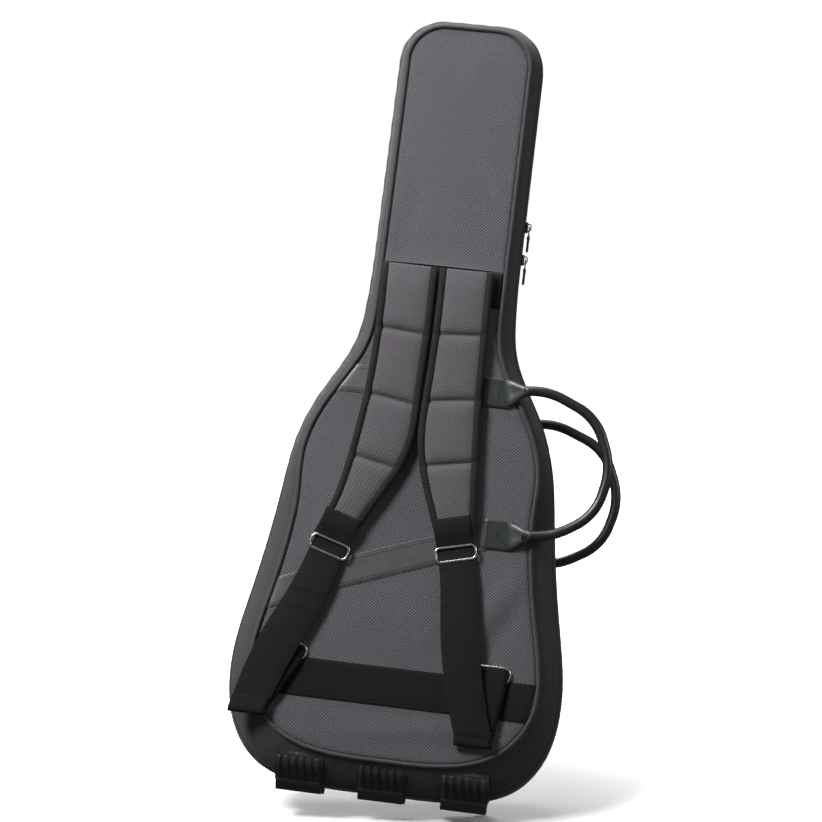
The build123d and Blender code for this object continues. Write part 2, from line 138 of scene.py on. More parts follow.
def even(path, pitch):
    s = lengths(path)
    at = np.linspace(0, s[-1], max(2, int(s[-1] / pitch) + 1))
    return np.column_stack([np.interp(at, s, path[:, k]) for k in range(path.shape[1])])


def bump(value, centre, width):
    return np.exp(-((value - centre) / width) ** 2)


# ---------------------------------------------------------------- meshes
def grid_faces(rows, cols, first=0, close_cols=False):
    faces = []
    for r in range(rows - 1):
        for c in range(cols if close_cols else cols - 1):
            d = (c + 1) % cols
            faces.append((first + r * cols + c, first + r * cols + d,
                          first + (r + 1) * cols + d, first + (r + 1) * cols + c))
    return faces


def mesh_object(name, points, faces, body, slot, replaces=(), uv=None, sharp=50):
    """A smooth-shaded piece of the bag. uv is in millimetres, for the weave."""
    mesh = bpy.data.meshes.new(name)
    mesh.from_pydata((np.asarray(points, float) * MM).tolist(), [], faces)
    if uv is not None:
        corner = np.empty(len(mesh.loops), int)
        mesh.loops.foreach_get("vertex_index", corner)
        mesh.uv_layers.new(name="weave").data.foreach_set("uv", (np.asarray(uv, float)[corner] * MM).ravel())
    work = bmesh.new()
    work.from_mesh(mesh)
    bmesh.ops.dissolve_degenerate(work, edges=work.edges, dist=1e-6)
    bmesh.ops.recalc_face_normals(work, faces=work.faces)
    work.to_mesh(mesh)
    work.free()
    mesh.polygons.foreach_set("use_smooth", [True] * len(mesh.polygons))
    mesh.set_sharp_from_angle(angle=math.radians(sharp))
    obj = bpy.data.objects.new(name, mesh)
    bpy.context.scene.collection.objects.link(obj)
    mesh.materials.append(MATERIALS[slot])
    if body:
        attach(obj, body)
    if replaces:
        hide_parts(*replaces)
    return obj


def grid_uv(grid):
    """Weave coordinates of a (rows, cols, 3) grid: length along the rows and across them."""
    rows, cols = grid.shape[:2]
    along = np.array([lengths(grid[:, c]) for c in (0, cols // 2, cols - 1)]).mean(0)
    across = np.array([lengths(grid[r]) for r in range(rows)])
    across -= across[:, -1:] / 2
    return np.column_stack([across.ravel(), np.repeat(along, cols)])


def two_faced(name, outer, inner, body, slot, replaces=(), uv=None, sharp=50):
    """Closed piece between two grids of the same size."""
    rows, cols = outer.shape[:2]
    count = rows * cols
    faces = grid_faces(rows, cols)
    faces += [tuple(count + i for i in reversed(f)) for f in faces]
    edge = list(range(cols)) + [r * cols + cols - 1 for r in range(1, rows)]
    edge += [count - 2 - c for c in range(cols - 1)] + [r * cols for r in range(rows - 2, 0, -1)]
    faces += [(a, b, b + count, a + count) for a, b in zip(edge, edge[1:] + edge[:1])]
    return mesh_object(name, np.vstack([outer.reshape(-1, 3), inner.reshape(-1, 3)]), faces, body, slot,
                       replaces, uv, sharp)


def slab(name, grid, drop, body, slot, replaces=()):
    """Closed sheet of cloth or leather: grid is its outer face, drop the step to its inner face."""
    grid = grid.copy()
    rim = np.zeros(grid.shape[:2], bool)
    rim[[0, -1], :] = rim[:, [0, -1]] = True
    grid[rim] += np.array(drop) * 0.3
    return two_faced(name, grid, grid + drop, body, slot, replaces, np.tile(grid_uv(grid), (2, 1)))


def rail(path, section, side=BACK, closed_section=False):
    """Grid that carries a section along an (x, z) path. A section point is (inwards, depth)."""
    normal = inward(path)
    section = np.asarray(section, float)
    if closed_section:
        section = np.vstack([section, section[:1]])
    inwards, depth = section[:, 0], section[:, 1]
    grid = np.empty((len(path), len(section), 3))
    grid[:, :, 0] = path[:, :1] + normal[:, :1] * inwards
    grid[:, :, 1] = side * depth
    grid[:, :, 2] = path[:, 1:] + normal[:, 1:] * inwards
    return grid


def strip(name, grid, body, slot, replaces=()):
    """Open surface from a grid."""
    return mesh_object(name, grid.reshape(-1, 3), grid_faces(*grid.shape[:2]), body, slot, replaces,
                       grid_uv(grid), 60)


def circle_section(centre, radius, count=12):
    turn = np.linspace(0, 2 * math.pi, count, endpoint=False)
    return [(centre[0] + radius * math.cos(a), centre[1] + radius * math.sin(a)) for a in turn]


def frames_along(path):
    """Tangents and two normals along a 3-D path, turning as little as possible."""
    tangent = np.gradient(path, axis=0)
    tangent /= np.linalg.norm(tangent, axis=1)[:, None]
    first = np.cross(tangent[0], (0.0, 1.0, 0.0))
    if np.linalg.norm(first) < 0.1:
        first = np.cross(tangent[0], (1.0, 0.0, 0.0))
    normals = [first / np.linalg.norm(first)]
    for t in tangent[1:]:
        n = normals[-1] - t * np.dot(normals[-1], t)
        normals.append(n / np.linalg.norm(n))
    normals = np.array(normals)
    return tangent, normals, np.cross(tangent, normals)


def tube(name, path, radius, body, slot, replaces=(), sides=14, loop=False, oval=(1.0, 1.0)):
    """Round bar or cord along a 3-D path; radius may be one value or one for each point."""
    path = np.asarray(path, float)
    if loop:
        path = np.vstack([path, path[:1]])
    _, n, b = frames_along(path)
    if loop:
        n[-1], b[-1] = n[0], b[0]
    r = np.broadcast_to(radius, len(path))[:, None, None]
    turn = np.linspace(0, 2 * math.pi, sides, endpoint=False)[None, :, None]
    grid = path[:, None] + r * (oval[0] * np.cos(turn) * n[:, None] + oval[1] * np.sin(turn) * b[:, None])
    rows = len(path) - 1 if loop else len(path)
    points = grid[:rows].reshape(-1, 3)
    faces = grid_faces(rows, sides, 0, True)
    last = (rows - 1) * sides
    if loop:
        faces += [(last + c, last + (c + 1) % sides, (c + 1) % sides, c) for c in range(sides)]
    else:
        faces += [tuple(range(sides))[::-1], tuple(range(last, rows * sides))]
    along = np.repeat(lengths(path[:rows]), sides)
    around = np.tile(np.arange(sides) * 2 * math.pi * float(np.mean(radius)) / sides, rows)
    return mesh_object(name, points, faces, body, slot, replaces, np.column_stack([around, along]))


def rounded_loop(width, height, corner, count=8):
    """Closed rounded rectangle around the origin."""
    points = []
    for k, (sx, sz) in enumerate(((1, 1), (-1, 1), (-1, -1), (1, -1))):
        for a in np.linspace(0, math.pi / 2, count):
            turn = a + k * math.pi / 2
            points.append((sx * (width / 2 - corner) + corner * math.cos(turn),
                           sz * (height / 2 - corner) + corner * math.sin(turn)))
    return np.array(points)


class Thread:
    """Collects stitches, each a small spindle, and makes one piece of them for each body."""
    RINGS = ((-0.5, 0.25), (-0.25, 0.9), (0.25, 0.9), (0.5, 0.25))
    SIDES = 5

    def __init__(self):
        self.points, self.faces = {}, {}

    def add(self, key, centre, direction, normal, length, radius):
        centre, direction, normal = (np.atleast_2d(np.asarray(v, float)) for v in (centre, direction, normal))
        direction = direction / np.linalg.norm(direction, axis=1)[:, None]
        side = np.cross(direction, normal)
        turn = np.arange(self.SIDES) * 2 * math.pi / self.SIDES
        points = []
        for shift, size in self.RINGS:
            for a in turn:
                points.append(centre + direction * shift * length
                              + radius * size * (math.cos(a) * normal + math.sin(a) * side))
        points = np.stack(points, 1)
        per = points.shape[1]
        first = sum(len(p) for p in self.points.setdefault(key, []))
        local = grid_faces(len(self.RINGS), self.SIDES, 0, True)
        local += [tuple(range(self.SIDES)), tuple(range(per - self.SIDES, per))]
        faces = self.faces.setdefault(key, [])
        for k in range(len(points)):
            faces += [tuple(first + k * per + i for i in f) for f in local]
        self.points[key].append(points.reshape(-1, 3))

    def seam(self, key, path, normal, pitch=3.4, length=2.3, radius=0.42):
        """Row of stitches along a 3-D path that lies on the cloth."""
        path = even(np.asarray(path, float), pitch)
        run = np.gradient(path, axis=0)
        normal = np.broadcast_to(np.asarray(normal, float), path.shape)
        self.add(key, path, run, normal, length, radius)

    def make(self, slots):
        for (name, body), points in self.points.items():
            mesh_object(name + "_" + body, np.vstack(points), self.faces[(name, body)], body, slots[name])


# ---------------------------------------------------------------- materials
class Shader:
    """A node material in the making; wire() takes sockets or plain values."""

    def __init__(self, name, rough, metallic=0.0, sheen=0.0, coat=0.0, specular=0.5):
        self.material = bpy.data.materials.new(name)
        self.material.use_nodes = True
        self.tree = self.material.node_tree
        self.bsdf = self.tree.nodes["Principled BSDF"]
        for socket, value in (("Roughness", rough), ("Metallic", metallic), ("Sheen Weight", sheen),
                              ("Sheen Roughness", 0.45), ("Coat Weight", coat), ("Coat Roughness", 0.3),
                              ("Specular IOR Level", specular)):
            self.bsdf.inputs[socket].default_value = value

    def node(self, kind, **settings):
        node = self.tree.nodes.new("ShaderNode" + kind)
        for key, value in settings.items():
            setattr(node, key, value)
        return node

    def wire(self, socket, value):
        if isinstance(value, bpy.types.NodeSocket):
            self.tree.links.new(value, socket)
        elif value is not None:
            socket.default_value = value

    def math(self, operation, a, b=None, clamp=False):
        node = self.node("Math", operation=operation, use_clamp=clamp)
        self.wire(node.inputs[0], a)
        self.wire(node.inputs[1], b)
        return node.outputs[0]

    def mix(self, share, low, high):
        node = self.node("Mix", data_type="RGBA")
        self.wire(node.inputs[0], share)
        self.wire(node.inputs[6], low if not isinstance(low, tuple) else (*low, 1))
        self.wire(node.inputs[7], high if not isinstance(high, tuple) else (*high, 1))
        return node.outputs[2]

    def noise(self, scale, detail=3.0, rough=0.5):
        node = self.node("TexNoise")
        for key, value in (("Scale", scale), ("Detail", detail), ("Roughness", rough)):
            node.inputs[key].default_value = value
        self.wire(node.inputs["Vector"], self.place())
        return node.outputs["Fac"]

    def place(self):
        return self.node("TexCoord").outputs["Object"]

    def weave_axes(self):
        split = self.node("SeparateXYZ")
        self.wire(split.inputs[0], self.node("UVMap", uv_map="weave").outputs[0])
        return split.outputs[0], split.outputs[1]

    def wave(self, value, pitch):
        return self.math("SINE", self.math("MULTIPLY", value, math.pi / (pitch * MM)))

    def remap(self, value, low, high):
        node = self.node("MapRange")
        for socket, v in zip(node.inputs[:5], (value, 0.0, 1.0, low, high)):
            self.wire(socket, v)
        return node.outputs[0]

    def bump(self, height, distance, strength=1.0, under=None):
        node = self.node("Bump")
        node.inputs["Distance"].default_value = distance * MM
        node.inputs["Strength"].default_value = strength
        self.wire(node.inputs["Height"], height)
        self.wire(node.inputs["Normal"], under)
        return node.outputs[0]

    def finish(self, colour, normal=None, rough=None):
        self.wire(self.bsdf.inputs["Base Color"], colour)
        self.wire(self.bsdf.inputs["Normal"], normal)
        self.wire(self.bsdf.inputs["Roughness"], rough)
        return self.material


def woven(name, dark, light, cell):
    """Two-tone basket weave with uneven yarn, worn in places."""
    s = Shader(name, 0.78, sheen=0.2, specular=0.3)
    u, v = s.weave_axes()
    cross = s.math("MULTIPLY", s.wave(u, cell), s.wave(v, cell))
    top = s.math("ADD", s.math("MULTIPLY", cross, 0.62), 0.5, clamp=True)
    yarn = s.remap(s.noise(420.0, 2.0), -0.22, 0.22)
    tone = s.mix(s.math("ADD", top, yarn, clamp=True), dark, light)
    wear = s.remap(s.noise(7.0, 4.0, 0.6), 0.88, 1.12)
    shade = s.node("VectorMath", operation="SCALE")
    s.wire(shade.inputs[0], tone)
    s.wire(shade.inputs["Scale"], wear)
    height = s.math("POWER", s.math("ABSOLUTE", cross), 0.5)
    return s.finish(shade.outputs[0], s.bump(height, 0.28, under=s.bump(s.noise(45.0), 0.5, 0.5)))


def ribbed(name, dark, light, across, along, sheen):
    """Webbing or tape: ribs across the band with a fine twill in them."""
    s = Shader(name, 0.62, sheen=sheen, specular=0.2)
    u, v = s.weave_axes()
    ribs = s.wave(v, across)
    twill = s.wave(s.math("ADD", u, v), along)
    height = s.math("ADD", s.math("MULTIPLY", s.math("ABSOLUTE", ribs), 0.7),
                    s.math("MULTIPLY", twill, 0.3))
    yarn = s.remap(s.noise(260.0, 2.0), -0.3, 0.3)
    share = s.math("MULTIPLY", s.math("ADD", height, yarn), 0.8, clamp=True)
    return s.finish(s.mix(share, dark, light), s.bump(height, 0.3, under=s.bump(s.noise(30.0), 0.8, 0.5)))


def leather(name, dark, light, rough, grain, coat=0.0):
    """Imitation leather: pressed grain, soft creases, rubbed lighter in places."""
    s = Shader(name, rough, coat=coat, specular=0.55)
    cells = s.node("TexVoronoi", feature="SMOOTH_F1")
    cells.inputs["Scale"].default_value = grain
    s.wire(cells.inputs["Vector"], s.place())
    rub = s.remap(s.noise(26.0, 5.0, 0.62), 0.0, 1.0)
    fine = s.bump(cells.outputs["Distance"], 0.16, 0.55, under=s.bump(s.noise(60.0, 4.0), 0.6, 0.45))
    return s.finish(s.mix(rub, dark, light), fine, s.remap(s.noise(90.0, 3.0), rough - 0.09, rough + 0.12))


def plush(name, dark, light):
    s = Shader(name, 0.95, sheen=0.7, specular=0.15)
    pile = s.noise(900.0, 3.0, 0.7)
    share = s.math("ADD", s.math("MULTIPLY", pile, 0.5), s.math("MULTIPLY", s.noise(14.0, 4.0), 0.5))
    return s.finish(s.mix(share, dark, light), s.bump(pile, 0.9, 0.8))


def rubber(name, dark, light):
    s = Shader(name, 0.52, specular=0.45)
    dust = s.noise(50.0, 5.0, 0.65)
    return s.finish(s.mix(dust, dark, light), s.bump(s.noise(700.0, 2.0), 0.08, 0.6),
                    s.remap(dust, 0.42, 0.66))


def metal(name, dark, light, rough):
    s = Shader(name, rough, metallic=1.0)
    haze = s.noise(120.0, 4.0, 0.6)
    return s.finish(s.mix(haze, dark, light), s.bump(s.noise(340.0, 2.0), 0.03, 0.5),
                    s.remap(haze, rough, rough + 0.16))


def spun(name, dark, light):
    """Thread and zip coil."""
    s = Shader(name, 0.5, sheen=0.1, specular=0.4)
    return s.finish(s.mix(s.noise(500.0, 2.0), dark, light), s.bump(s.noise(1500.0, 2.0), 0.1, 0.6))


LOOKS = {
    "shell_fabric": (woven, (0.022, 0.021, 0.025), (0.192, 0.184, 0.203), 2.2),
    "pad_fabric": (woven, (0.023, 0.021, 0.024), (0.198, 0.185, 0.203), 2.1),
    "gusset_fabric": (woven, (0.018, 0.016, 0.019), (0.086, 0.081, 0.090), 1.8),
    "piping_cord": (woven, (0.028, 0.026, 0.029), (0.105, 0.100, 0.108), 1.2),
    "webbing": (ribbed, (0.0018, 0.0016, 0.0022), (0.011, 0.010, 0.012), 1.5, 1.1, 0.03),
    "binding_tape": (ribbed, (0.004, 0.004, 0.004), (0.034, 0.033, 0.030), 1.3, 0.9, 0.08),
    "imitation_leather": (leather, (0.052, 0.056, 0.058), (0.112, 0.118, 0.120), 0.40, 950.0),
    "patch_leather": (leather, (0.018, 0.021, 0.022), (0.052, 0.058, 0.060), 0.34, 950.0),
    "handle_leather": (leather, (0.008, 0.008, 0.009), (0.022, 0.021, 0.022), 0.36, 800.0, 0.25),
    "lining_plush": (plush, (0.028, 0.028, 0.030), (0.075, 0.074, 0.078)),
    "foot_rubber": (rubber, (0.010, 0.010, 0.011), (0.028, 0.028, 0.029)),
    "nickel_wire": (metal, (0.62, 0.60, 0.57), (0.86, 0.84, 0.80), 0.16),
    "slider_metal": (metal, (0.10, 0.095, 0.095), (0.30, 0.29, 0.28), 0.26),
    "zip_coil": (spun, (0.008, 0.008, 0.008), (0.022, 0.021, 0.022)),
    "thread": (spun, (0.012, 0.012, 0.013), (0.045, 0.044, 0.046)),
    "thread_dark": (spun, (0.003, 0.003, 0.003), (0.012, 0.012, 0.012)),
}
MATERIALS = {name: make(name, *values) for name, (make, *values) in LOOKS.items()}
STITCHES = Thread()


# ---------------------------------------------------------------- the cloth's face
def edge_distance(x, z):
    """Distance of each point to the panel's edge."""
    a, b = PANEL_LOOP[:-1], PANEL_LOOP[1:]
    run = b - a
    length2 = np.maximum((run ** 2).sum(1), 1e-9)
    points = np.column_stack([np.ravel(x), np.ravel(z)])
    result = np.empty(len(points))
    for first in range(0, len(points), 2000):
        p = points[first:first + 2000, None]
        t = np.clip(((p - a) * run).sum(2) / length2, 0, 1)
        result[first:first + 2000] = np.linalg.norm(p - a - t[..., None] * run, axis=2).min(1)
    return result.reshape(np.shape(x))


# Soft folds of the back panel: middle, direction in degrees, half length, half width, height.
FOLDS = [((118, 262), 58, 75, 15, 2.25), ((132, 232), 60, 70, 12, -1.95), ((0, 225), 24, 150, 38, 1.95),
         ((-40, 200), 28, 120, 26, -1.35), ((-95, 420), 75, 90, 18, 1.5), ((60, 470), 80, 70, 16, -1.2),
         ((-120, 330), 62, 90, 17, 1.8), ((-25, 905), -62, 110, 22, 1.35), ((30, 830), -60, 130, 24, -1.2),
         ((15, 990), 70, 60, 20, 1.05), ((-55, 770), 82, 60, 14, -1.05), ((40, 95), 8, 120, 14, 1.35)]


def folds(x, z):
    height = np.zeros(np.shape(x))
    for (cx, cz), degrees, half_length, half_width, rise in FOLDS:
        c, s = math.cos(math.radians(degrees)), math.sin(math.radians(degrees))
        along, across = (x - cx) * c + (z - cz) * s, (z - cz) * c - (x - cx) * s
        height = height + rise * bump(along, 0, half_length) * bump(across, 0, half_width)
    return height


def cloth_depth(x, z, side=BACK):
    """Depth of the panel's face: filled out in the middle, rolled in at the piping."""
    x, z = np.asarray(x, float), np.asarray(z, float)
    d = edge_distance(x, z)
    fill = 1.6 * (1 - np.exp(-d / 26)) - 3.4 * np.exp(-(d / 3.2) ** 1.4)
    return HALF_DEPTH + fill + folds(x * -side, z) * (1 - np.exp(-d / 14))


def lie_on_cloth(flat, lift, side=BACK):
    """3-D points of (x, z) points, lying this far above the panel."""
    flat = np.asarray(flat, float)
    depth = cloth_depth(flat[..., 0], flat[..., 1], side) + lift
    return np.stack([flat[..., 0], side * depth, flat[..., 1]], -1)


COLUMNS = 56


def panel_rows(half):
    """Rows of (x, z) points across the outline, closer together near the edges."""
    t = np.linspace(-1, 1, COLUMNS)
    spread = 1.45 * t - 0.45 * t ** 3
    return np.stack([half[:, :1] * spread, np.repeat(half[:, 1:], COLUMNS, 1)], -1)


def finer(half):
    """The half outline with a point halfway between each two."""
    at = np.arange(0, len(half) - 1 + 1e-9, 0.5)
    return np.column_stack([np.interp(at, np.arange(len(half)), half[:, k]) for k in (0, 1)])


# ---------------------------------------------------------------- shell
def panel(name, side, body, replaces, low=None, high=None):
    """Outer fabric panel, above or below a height if one is given, as one filled-out sheet."""
    half = finer(HALF_PANEL[:ARC_END])
    if low is not None:
        half = half[half[:, 1] > low]
    if high is not None:
        half = half[half[:, 1] < high]
    grid = lie_on_cloth(panel_rows(half), 0.0, side)
    if low is not None:                       # the hem stands over the straps and turns under
        above = grid[:, :, 2] - low
        grid[:, :, 1] += side * 2.4 * np.exp(-above / 9.0) * np.clip(1.4 - np.abs(grid[:, :, 0]) / 75, 0, 1)
        turned = [grid[0] - (0, side * shift, drop) for drop, shift in ((1.1, 2.8), (0.9, 1.2))]
        grid = np.concatenate([np.array(turned), grid])
    uv = np.column_stack([grid[:, :, 0].ravel(), grid[:, :, 2].ravel()])
    mesh_object(name, grid.reshape(-1, 3), grid_faces(*grid.shape[:2]), body, "shell_fabric", replaces, uv)


GUSSET_ROWS = [0.0, 0.015, 0.04, 0.08, 0.12, 0.2, 0.3, 0.4, 0.5, 0.57, 0.6,
               0.62, 0.64, 0.66, 0.7, 0.78, 0.86, 0.93, 0.965, 0.985, 1.0]
SEAM_AT = 0.62           # where the zip's strip is sewn to the gusset
CROSS_SEAM_Z = 962.0     # short seam across the gusset near the top
GUSSET_WIDTH = 62.0


def gusset_path(v, inset=0.0):
    """Outline loop at a share v of the way from the panel to the zip."""
    bulge = 1 - (1 - v) ** 2
    path = PANEL_LOOP + bulge * (ZIP_LOOP - PANEL_LOOP)
    return path + inward(path) * inset


def gusset_depth(v):
    return HALF_DEPTH - v * (HALF_DEPTH - ZIP_DEPTH)


def gusset_relief(v, s, path):
    """How far the gusset stands out: puckers by the piping, a groove at the seam, soft dents."""
    pucker = 0.45 * np.sin(s / 3.9 + 2 * np.sin(s / 31)) * bump(v, 0.05, 0.09)
    strip_pucker = 0.3 * np.sin(s / 4.6 + np.sin(s / 23)) * bump(v, SEAM_AT + 0.06, 0.07)
    dents = 1.1 * np.sin(s / 61 + 1.3 * np.sin(s / 97)) * math.sin(math.pi * v / SEAM_AT) * (v < SEAM_AT)
    seam = -1.7 * bump(v, SEAM_AT, 0.012) + 0.9 * (v > SEAM_AT + 0.01) * bump(v, SEAM_AT + 0.05, 0.22)
    cross = -0.9 * bump(path[:, 1], CROSS_SEAM_Z, 1.6) * (path[:, 0] < 0) * (v < SEAM_AT)
    return pucker + strip_pucker + dents + seam + cross


def at_depth(path, depth):
    """3-D points of an (x, z) path at one Y."""
    return np.column_stack([path[:, 0], np.full(len(path), depth), path[:, 1]])


def gusset_line(v, s, side, above=0.0):
    path = gusset_path(v)
    out = path - inward(path) * (gusset_relief(v, s, path) + above)[:, None]
    return at_depth(out, side * gusset_depth(v))


def gusset(side, body, prefix):
    s = lengths(ZIP_LOOP)
    rows = [gusset_line(v, s, side) for v in GUSSET_ROWS]
    across = [v * GUSSET_WIDTH for v in GUSSET_ROWS]
    for inset, depth in ((0.5, 5.3), (1.6, 5.0), (3.0, 5.6), (3.2, 9.0)):
        rows.append(at_depth(gusset_path(1.0, inset), side * depth))
        across.append(GUSSET_WIDTH + inset)
    uv = [np.column_stack([np.full(len(s), width), s]) for width in across]
    grid = np.array(rows)
    mesh_object(prefix + "_gusset_cloth", grid.reshape(-1, 3), grid_faces(*grid.shape[:2]), body,
                "gusset_fabric", [prefix + "_gusset"], np.vstack(uv))
    for v, radius in ((0.13, 0.36), (SEAM_AT + 0.055, 0.4), (0.93, 0.36)):
        STITCHES.seam(("thread", body), gusset_line(v, s, side, 0.12), (0, side, 0), 3.6, 2.4, radius)


def piping(side, body, prefix):
    grid = rail(PANEL_LOOP, circle_section((0.3, HALF_DEPTH + 0.2), 2.5), side, True)
    wobble = 0.12 * np.sin(lengths(PANEL_LOOP) / 5.3)[:, None] * inward(PANEL_LOOP)
    grid[:, :, 0] += wobble[:, :1]
    grid[:, :, 2] += wobble[:, 1:]
    strip(prefix + "_piping_cloth", grid, body, "piping_cord", [prefix + "_piping"])
    seam = rail(PANEL_LOOP, [(4.6, 0)], side)[:, 0]
    seam[:, 1] = side * (cloth_depth(seam[:, 0], seam[:, 2], side) + 0.1)
    STITCHES.seam(("thread", body), seam, (0, side, 0), 3.4, 2.2, 0.36)


def away_from_hinge(path):
    """True where the zip runs, False along the fabric hinge."""
    return ~((path[:, 0] < 0) & (path[:, 1] > HINGE_SPAN[0]) & (path[:, 1] < HINGE_SPAN[1]))


def zip_runs(path):
    """The zip line as one open path that starts and ends at the hinge."""
    keep = away_from_hinge(path[:-1])
    start = int(np.argmax(~keep))
    turned = np.roll(np.arange(len(keep)), -start)
    return path[:-1][[i for i in turned if keep[i]]]


TOOTH_PITCH = 1.9


def zip_half(side, body, prefix):
    path = zip_runs(ZIP_LOOP)
    tape = rail(path, [(1.9, 9.0), (1.7, 5.0), (1.6, 3.0), (1.6, 1.9), (2.6, 1.5)], side)
    strip(prefix + "_zip_tape", tape, body, "webbing", [body + "_zip"])
    teeth = even(path, TOOTH_PITCH)
    normal = inward(teeth)
    STITCHES.add(("zip_coil", body), at_depth(teeth + normal, side * 1.75),
                 np.tile((0.0, 1.0, 0.0), (len(teeth), 1)), at_depth(-normal, 0.0), 3.0, 0.72)


def interior(side, body, prefix):
    """Bound rim, plush wall and plush floor of one half, with the foam they hide."""
    rim = rail(ZIP_LOOP, [(1.8, 8.0), (2.6, 6.3), (4.5, 5.9), (9.0, 6.0), (13.5, 6.6), (15.6, 8.4)], side)
    strip(prefix + "_rim_binding", rim, body, "webbing")
    rows = []
    for depth in (8.0, 17.0, 26.0, 34.5, 39.5, 42.8, 44.2):
        v = (INNER_DEPTH - depth) / (INNER_DEPTH - ZIP_DEPTH)
        rows.append(at_depth(gusset_path(v, SHELL_THICK), side * depth))
    strip(prefix + "_lining_wall", np.array(rows).transpose(1, 0, 2), body, "lining_plush",
          [prefix + "_lining", prefix + "_padding"])
    inner = PANEL_LOOP + inward(PANEL_LOOP) * (SHELL_THICK + 0.5)
    half = inner[:ARC_END]
    half = half[np.concatenate([[True], np.diff(half[:, 1]) > 0])]
    x, z = np.moveaxis(panel_rows(half), 2, 0)
    rise = 0.5 * np.abs(np.sin(x / 37) * np.sin(z / 53))
    grid = np.stack([x, side * (INNER_DEPTH - rise), z], -1)
    strip(prefix + "_lining_floor", grid, body, "lining_plush")


def hinge_cloth():
    """Folded fabric that joins the two halves where the zip stops."""
    at = np.linspace(HINGE_SPAN[0] - 4, HINGE_SPAN[1] + 4, 60)
    loop = ZIP_LOOP[ZIP_LOOP[:, 0] < -150]
    order = np.argsort(loop[:, 1])
    edge = np.interp(at, loop[order, 1], loop[order, 0])
    depth = np.linspace(-ZIP_DEPTH - 1.5, ZIP_DEPTH + 1.5, 15)
    grid = np.empty((len(at), len(depth), 3))
    grid[:, :, 0] = edge[:, None] + 1.3 - 1.1 * bump(depth, 0, 4.0)[None]
    grid[:, :, 1] = depth[None]
    grid[:, :, 2] = at[:, None]
    piece = slab("hinge_cloth", grid, (1.0, 0, 0), None, "gusset_fabric",
                 ["body_hinge_strip", "lid_hinge_strip"])
    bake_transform(piece)


panel("back_panel_upper_cloth", BACK, "body", ["back_panel_upper"], low=HEM_Z)
panel("back_panel_lower_cloth", BACK, "body", ["back_panel_lower"], high=HEM_Z + 6)
panel("front_panel_cloth", LID, "lid", ["front_panel"])
HALVES = ((BACK, "body", "back"), (LID, "lid", "front"))
for side, body, prefix in HALVES:
    gusset(side, body, prefix)
    piping(side, body, prefix)
    zip_half(side, body, prefix)
    interior(side, body, prefix)
hinge_cloth()

# ---------------------------------------------------------------- bands and patches
BAND_LIFT = 1.5


def band(name, left, right, body, slot, replaces, edges, side=BACK, lift=BAND_LIFT, rows=90, cols=12):
    """Flat band between two (x, z) edges, following the cloth, with rows of stitches this far inside them."""
    left, right = (smooth_curve(e, rows) if len(e) > 2 else np.linspace(*e, rows) for e in (left, right))
    t = np.linspace(0, 1, cols)[None, :, None]
    flat = left[:, None] * (1 - t) + right[:, None] * t
    slab(name, lie_on_cloth(flat, lift, side), (0, -side * (lift + 0.5), 0), body, slot, replaces)
    width = np.linalg.norm(right - left, axis=1)[:, None]
    for inset in edges:
        for a, b in ((left, right), (right, left)):
            line = a + (b - a) / width * inset
            STITCHES.seam(("thread_dark", body), lie_on_cloth(line, lift + 0.15, side), (0, side, 0),
                          3.3, 2.3, 0.45)


def to_edge(z):
    """Where cloth on the panel ends at this height, beside the piping."""
    return float(np.interp(z, HALF_PANEL[:ARC_END, 1], HALF_PANEL[:ARC_END, 0])) - 3.2


def level(z, end=None):
    """Level line across the panel from its left edge."""
    return [(-to_edge(z), z), (to_edge(z) if end is None else end, z)]


band("shoulder_band_webbing", level(707), level(660), "body", "webbing", ["shoulder_anchor_band"], (3.0,))
band("lower_band_webbing", level(172.0), level(122.0), "body", "webbing", ["lower_anchor_band"], (2.6,))
band("upper_leather_band", level(565, 70), level(527, 70), "body", "imitation_leather",
     ["upper_reinforcement_band"], (2.6, 6.2))
band("diagonal_leather_band", [(-to_edge(271), 271), (-110, 296), (20, 345), (100, 373)],
     [(-to_edge(229), 229), (-90, 264), (35, 311), (100, 337)], "body", "imitation_leather",
     ["diagonal_reinforcement_band"], (2.6, 6.2))

# ---------------------------------------------------------------- carry handles and their patches
HANDLE_RADIUS = 6.5
HANDLE_DEPTH = 70.1
HANDLE_ROUTE = [(94, 547), (158, 555), (224, 526), (250, 462), (236, 398), (184, 364), (120, 359)]
LID_HANDLE_ROUTE = [(100, 527), (170, 536), (240, 508), (268, 442), (250, 376), (194, 343), (126, 339)]
HANDLE_RADII = [85, 70, 88, 70, 95]
UPPER_PATCH, LOWER_PATCH = np.array((90.0, 546.0)), np.array((114.0, 359.0))
PATCH = 19.0             # half the size of a patch
LID_SHIFT = np.array((6.0, -20.0))


def rounded_route(points, radii, pitch=4.0):
    """Straight runs joined by tangent arcs."""
    p = [np.array(q, float) for q in points]
    path = [p[0]]
    for before, corner, after, radius in zip(p, p[1:], p[2:], radii):
        a, b = (before - corner), (after - corner)
        a, b = a / np.linalg.norm(a), b / np.linalg.norm(b)
        half = math.acos(np.clip(a @ b, -1, 1)) / 2
        reach = radius / math.tan(half)
        centre = corner + (a + b) / np.linalg.norm(a + b) * radius / math.sin(half)
        start, end = corner + a * reach - centre, corner + b * reach - centre
        sweep = math.pi - 2 * half
        for k in np.linspace(0, 1, max(4, int(radius * sweep / pitch))):
            arc = start * math.sin((1 - k) * sweep) + end * math.sin(k * sweep)
            path.append(centre + arc / math.sin(sweep))
    path.append(p[-1])
    return even(np.array(path), pitch)


WEDGE = 30.0             # length over which the leather narrows from the patch to the tube
NECK_END = 7.1           # its radius there
BOX_X = [[(-14, 14), (12, -14)], [(-14, -14), (12, 14)]]
UPRIGHT_ROWS = [[(4, 15), (4, -15)], [(-5, 15), (-5, -15)]]


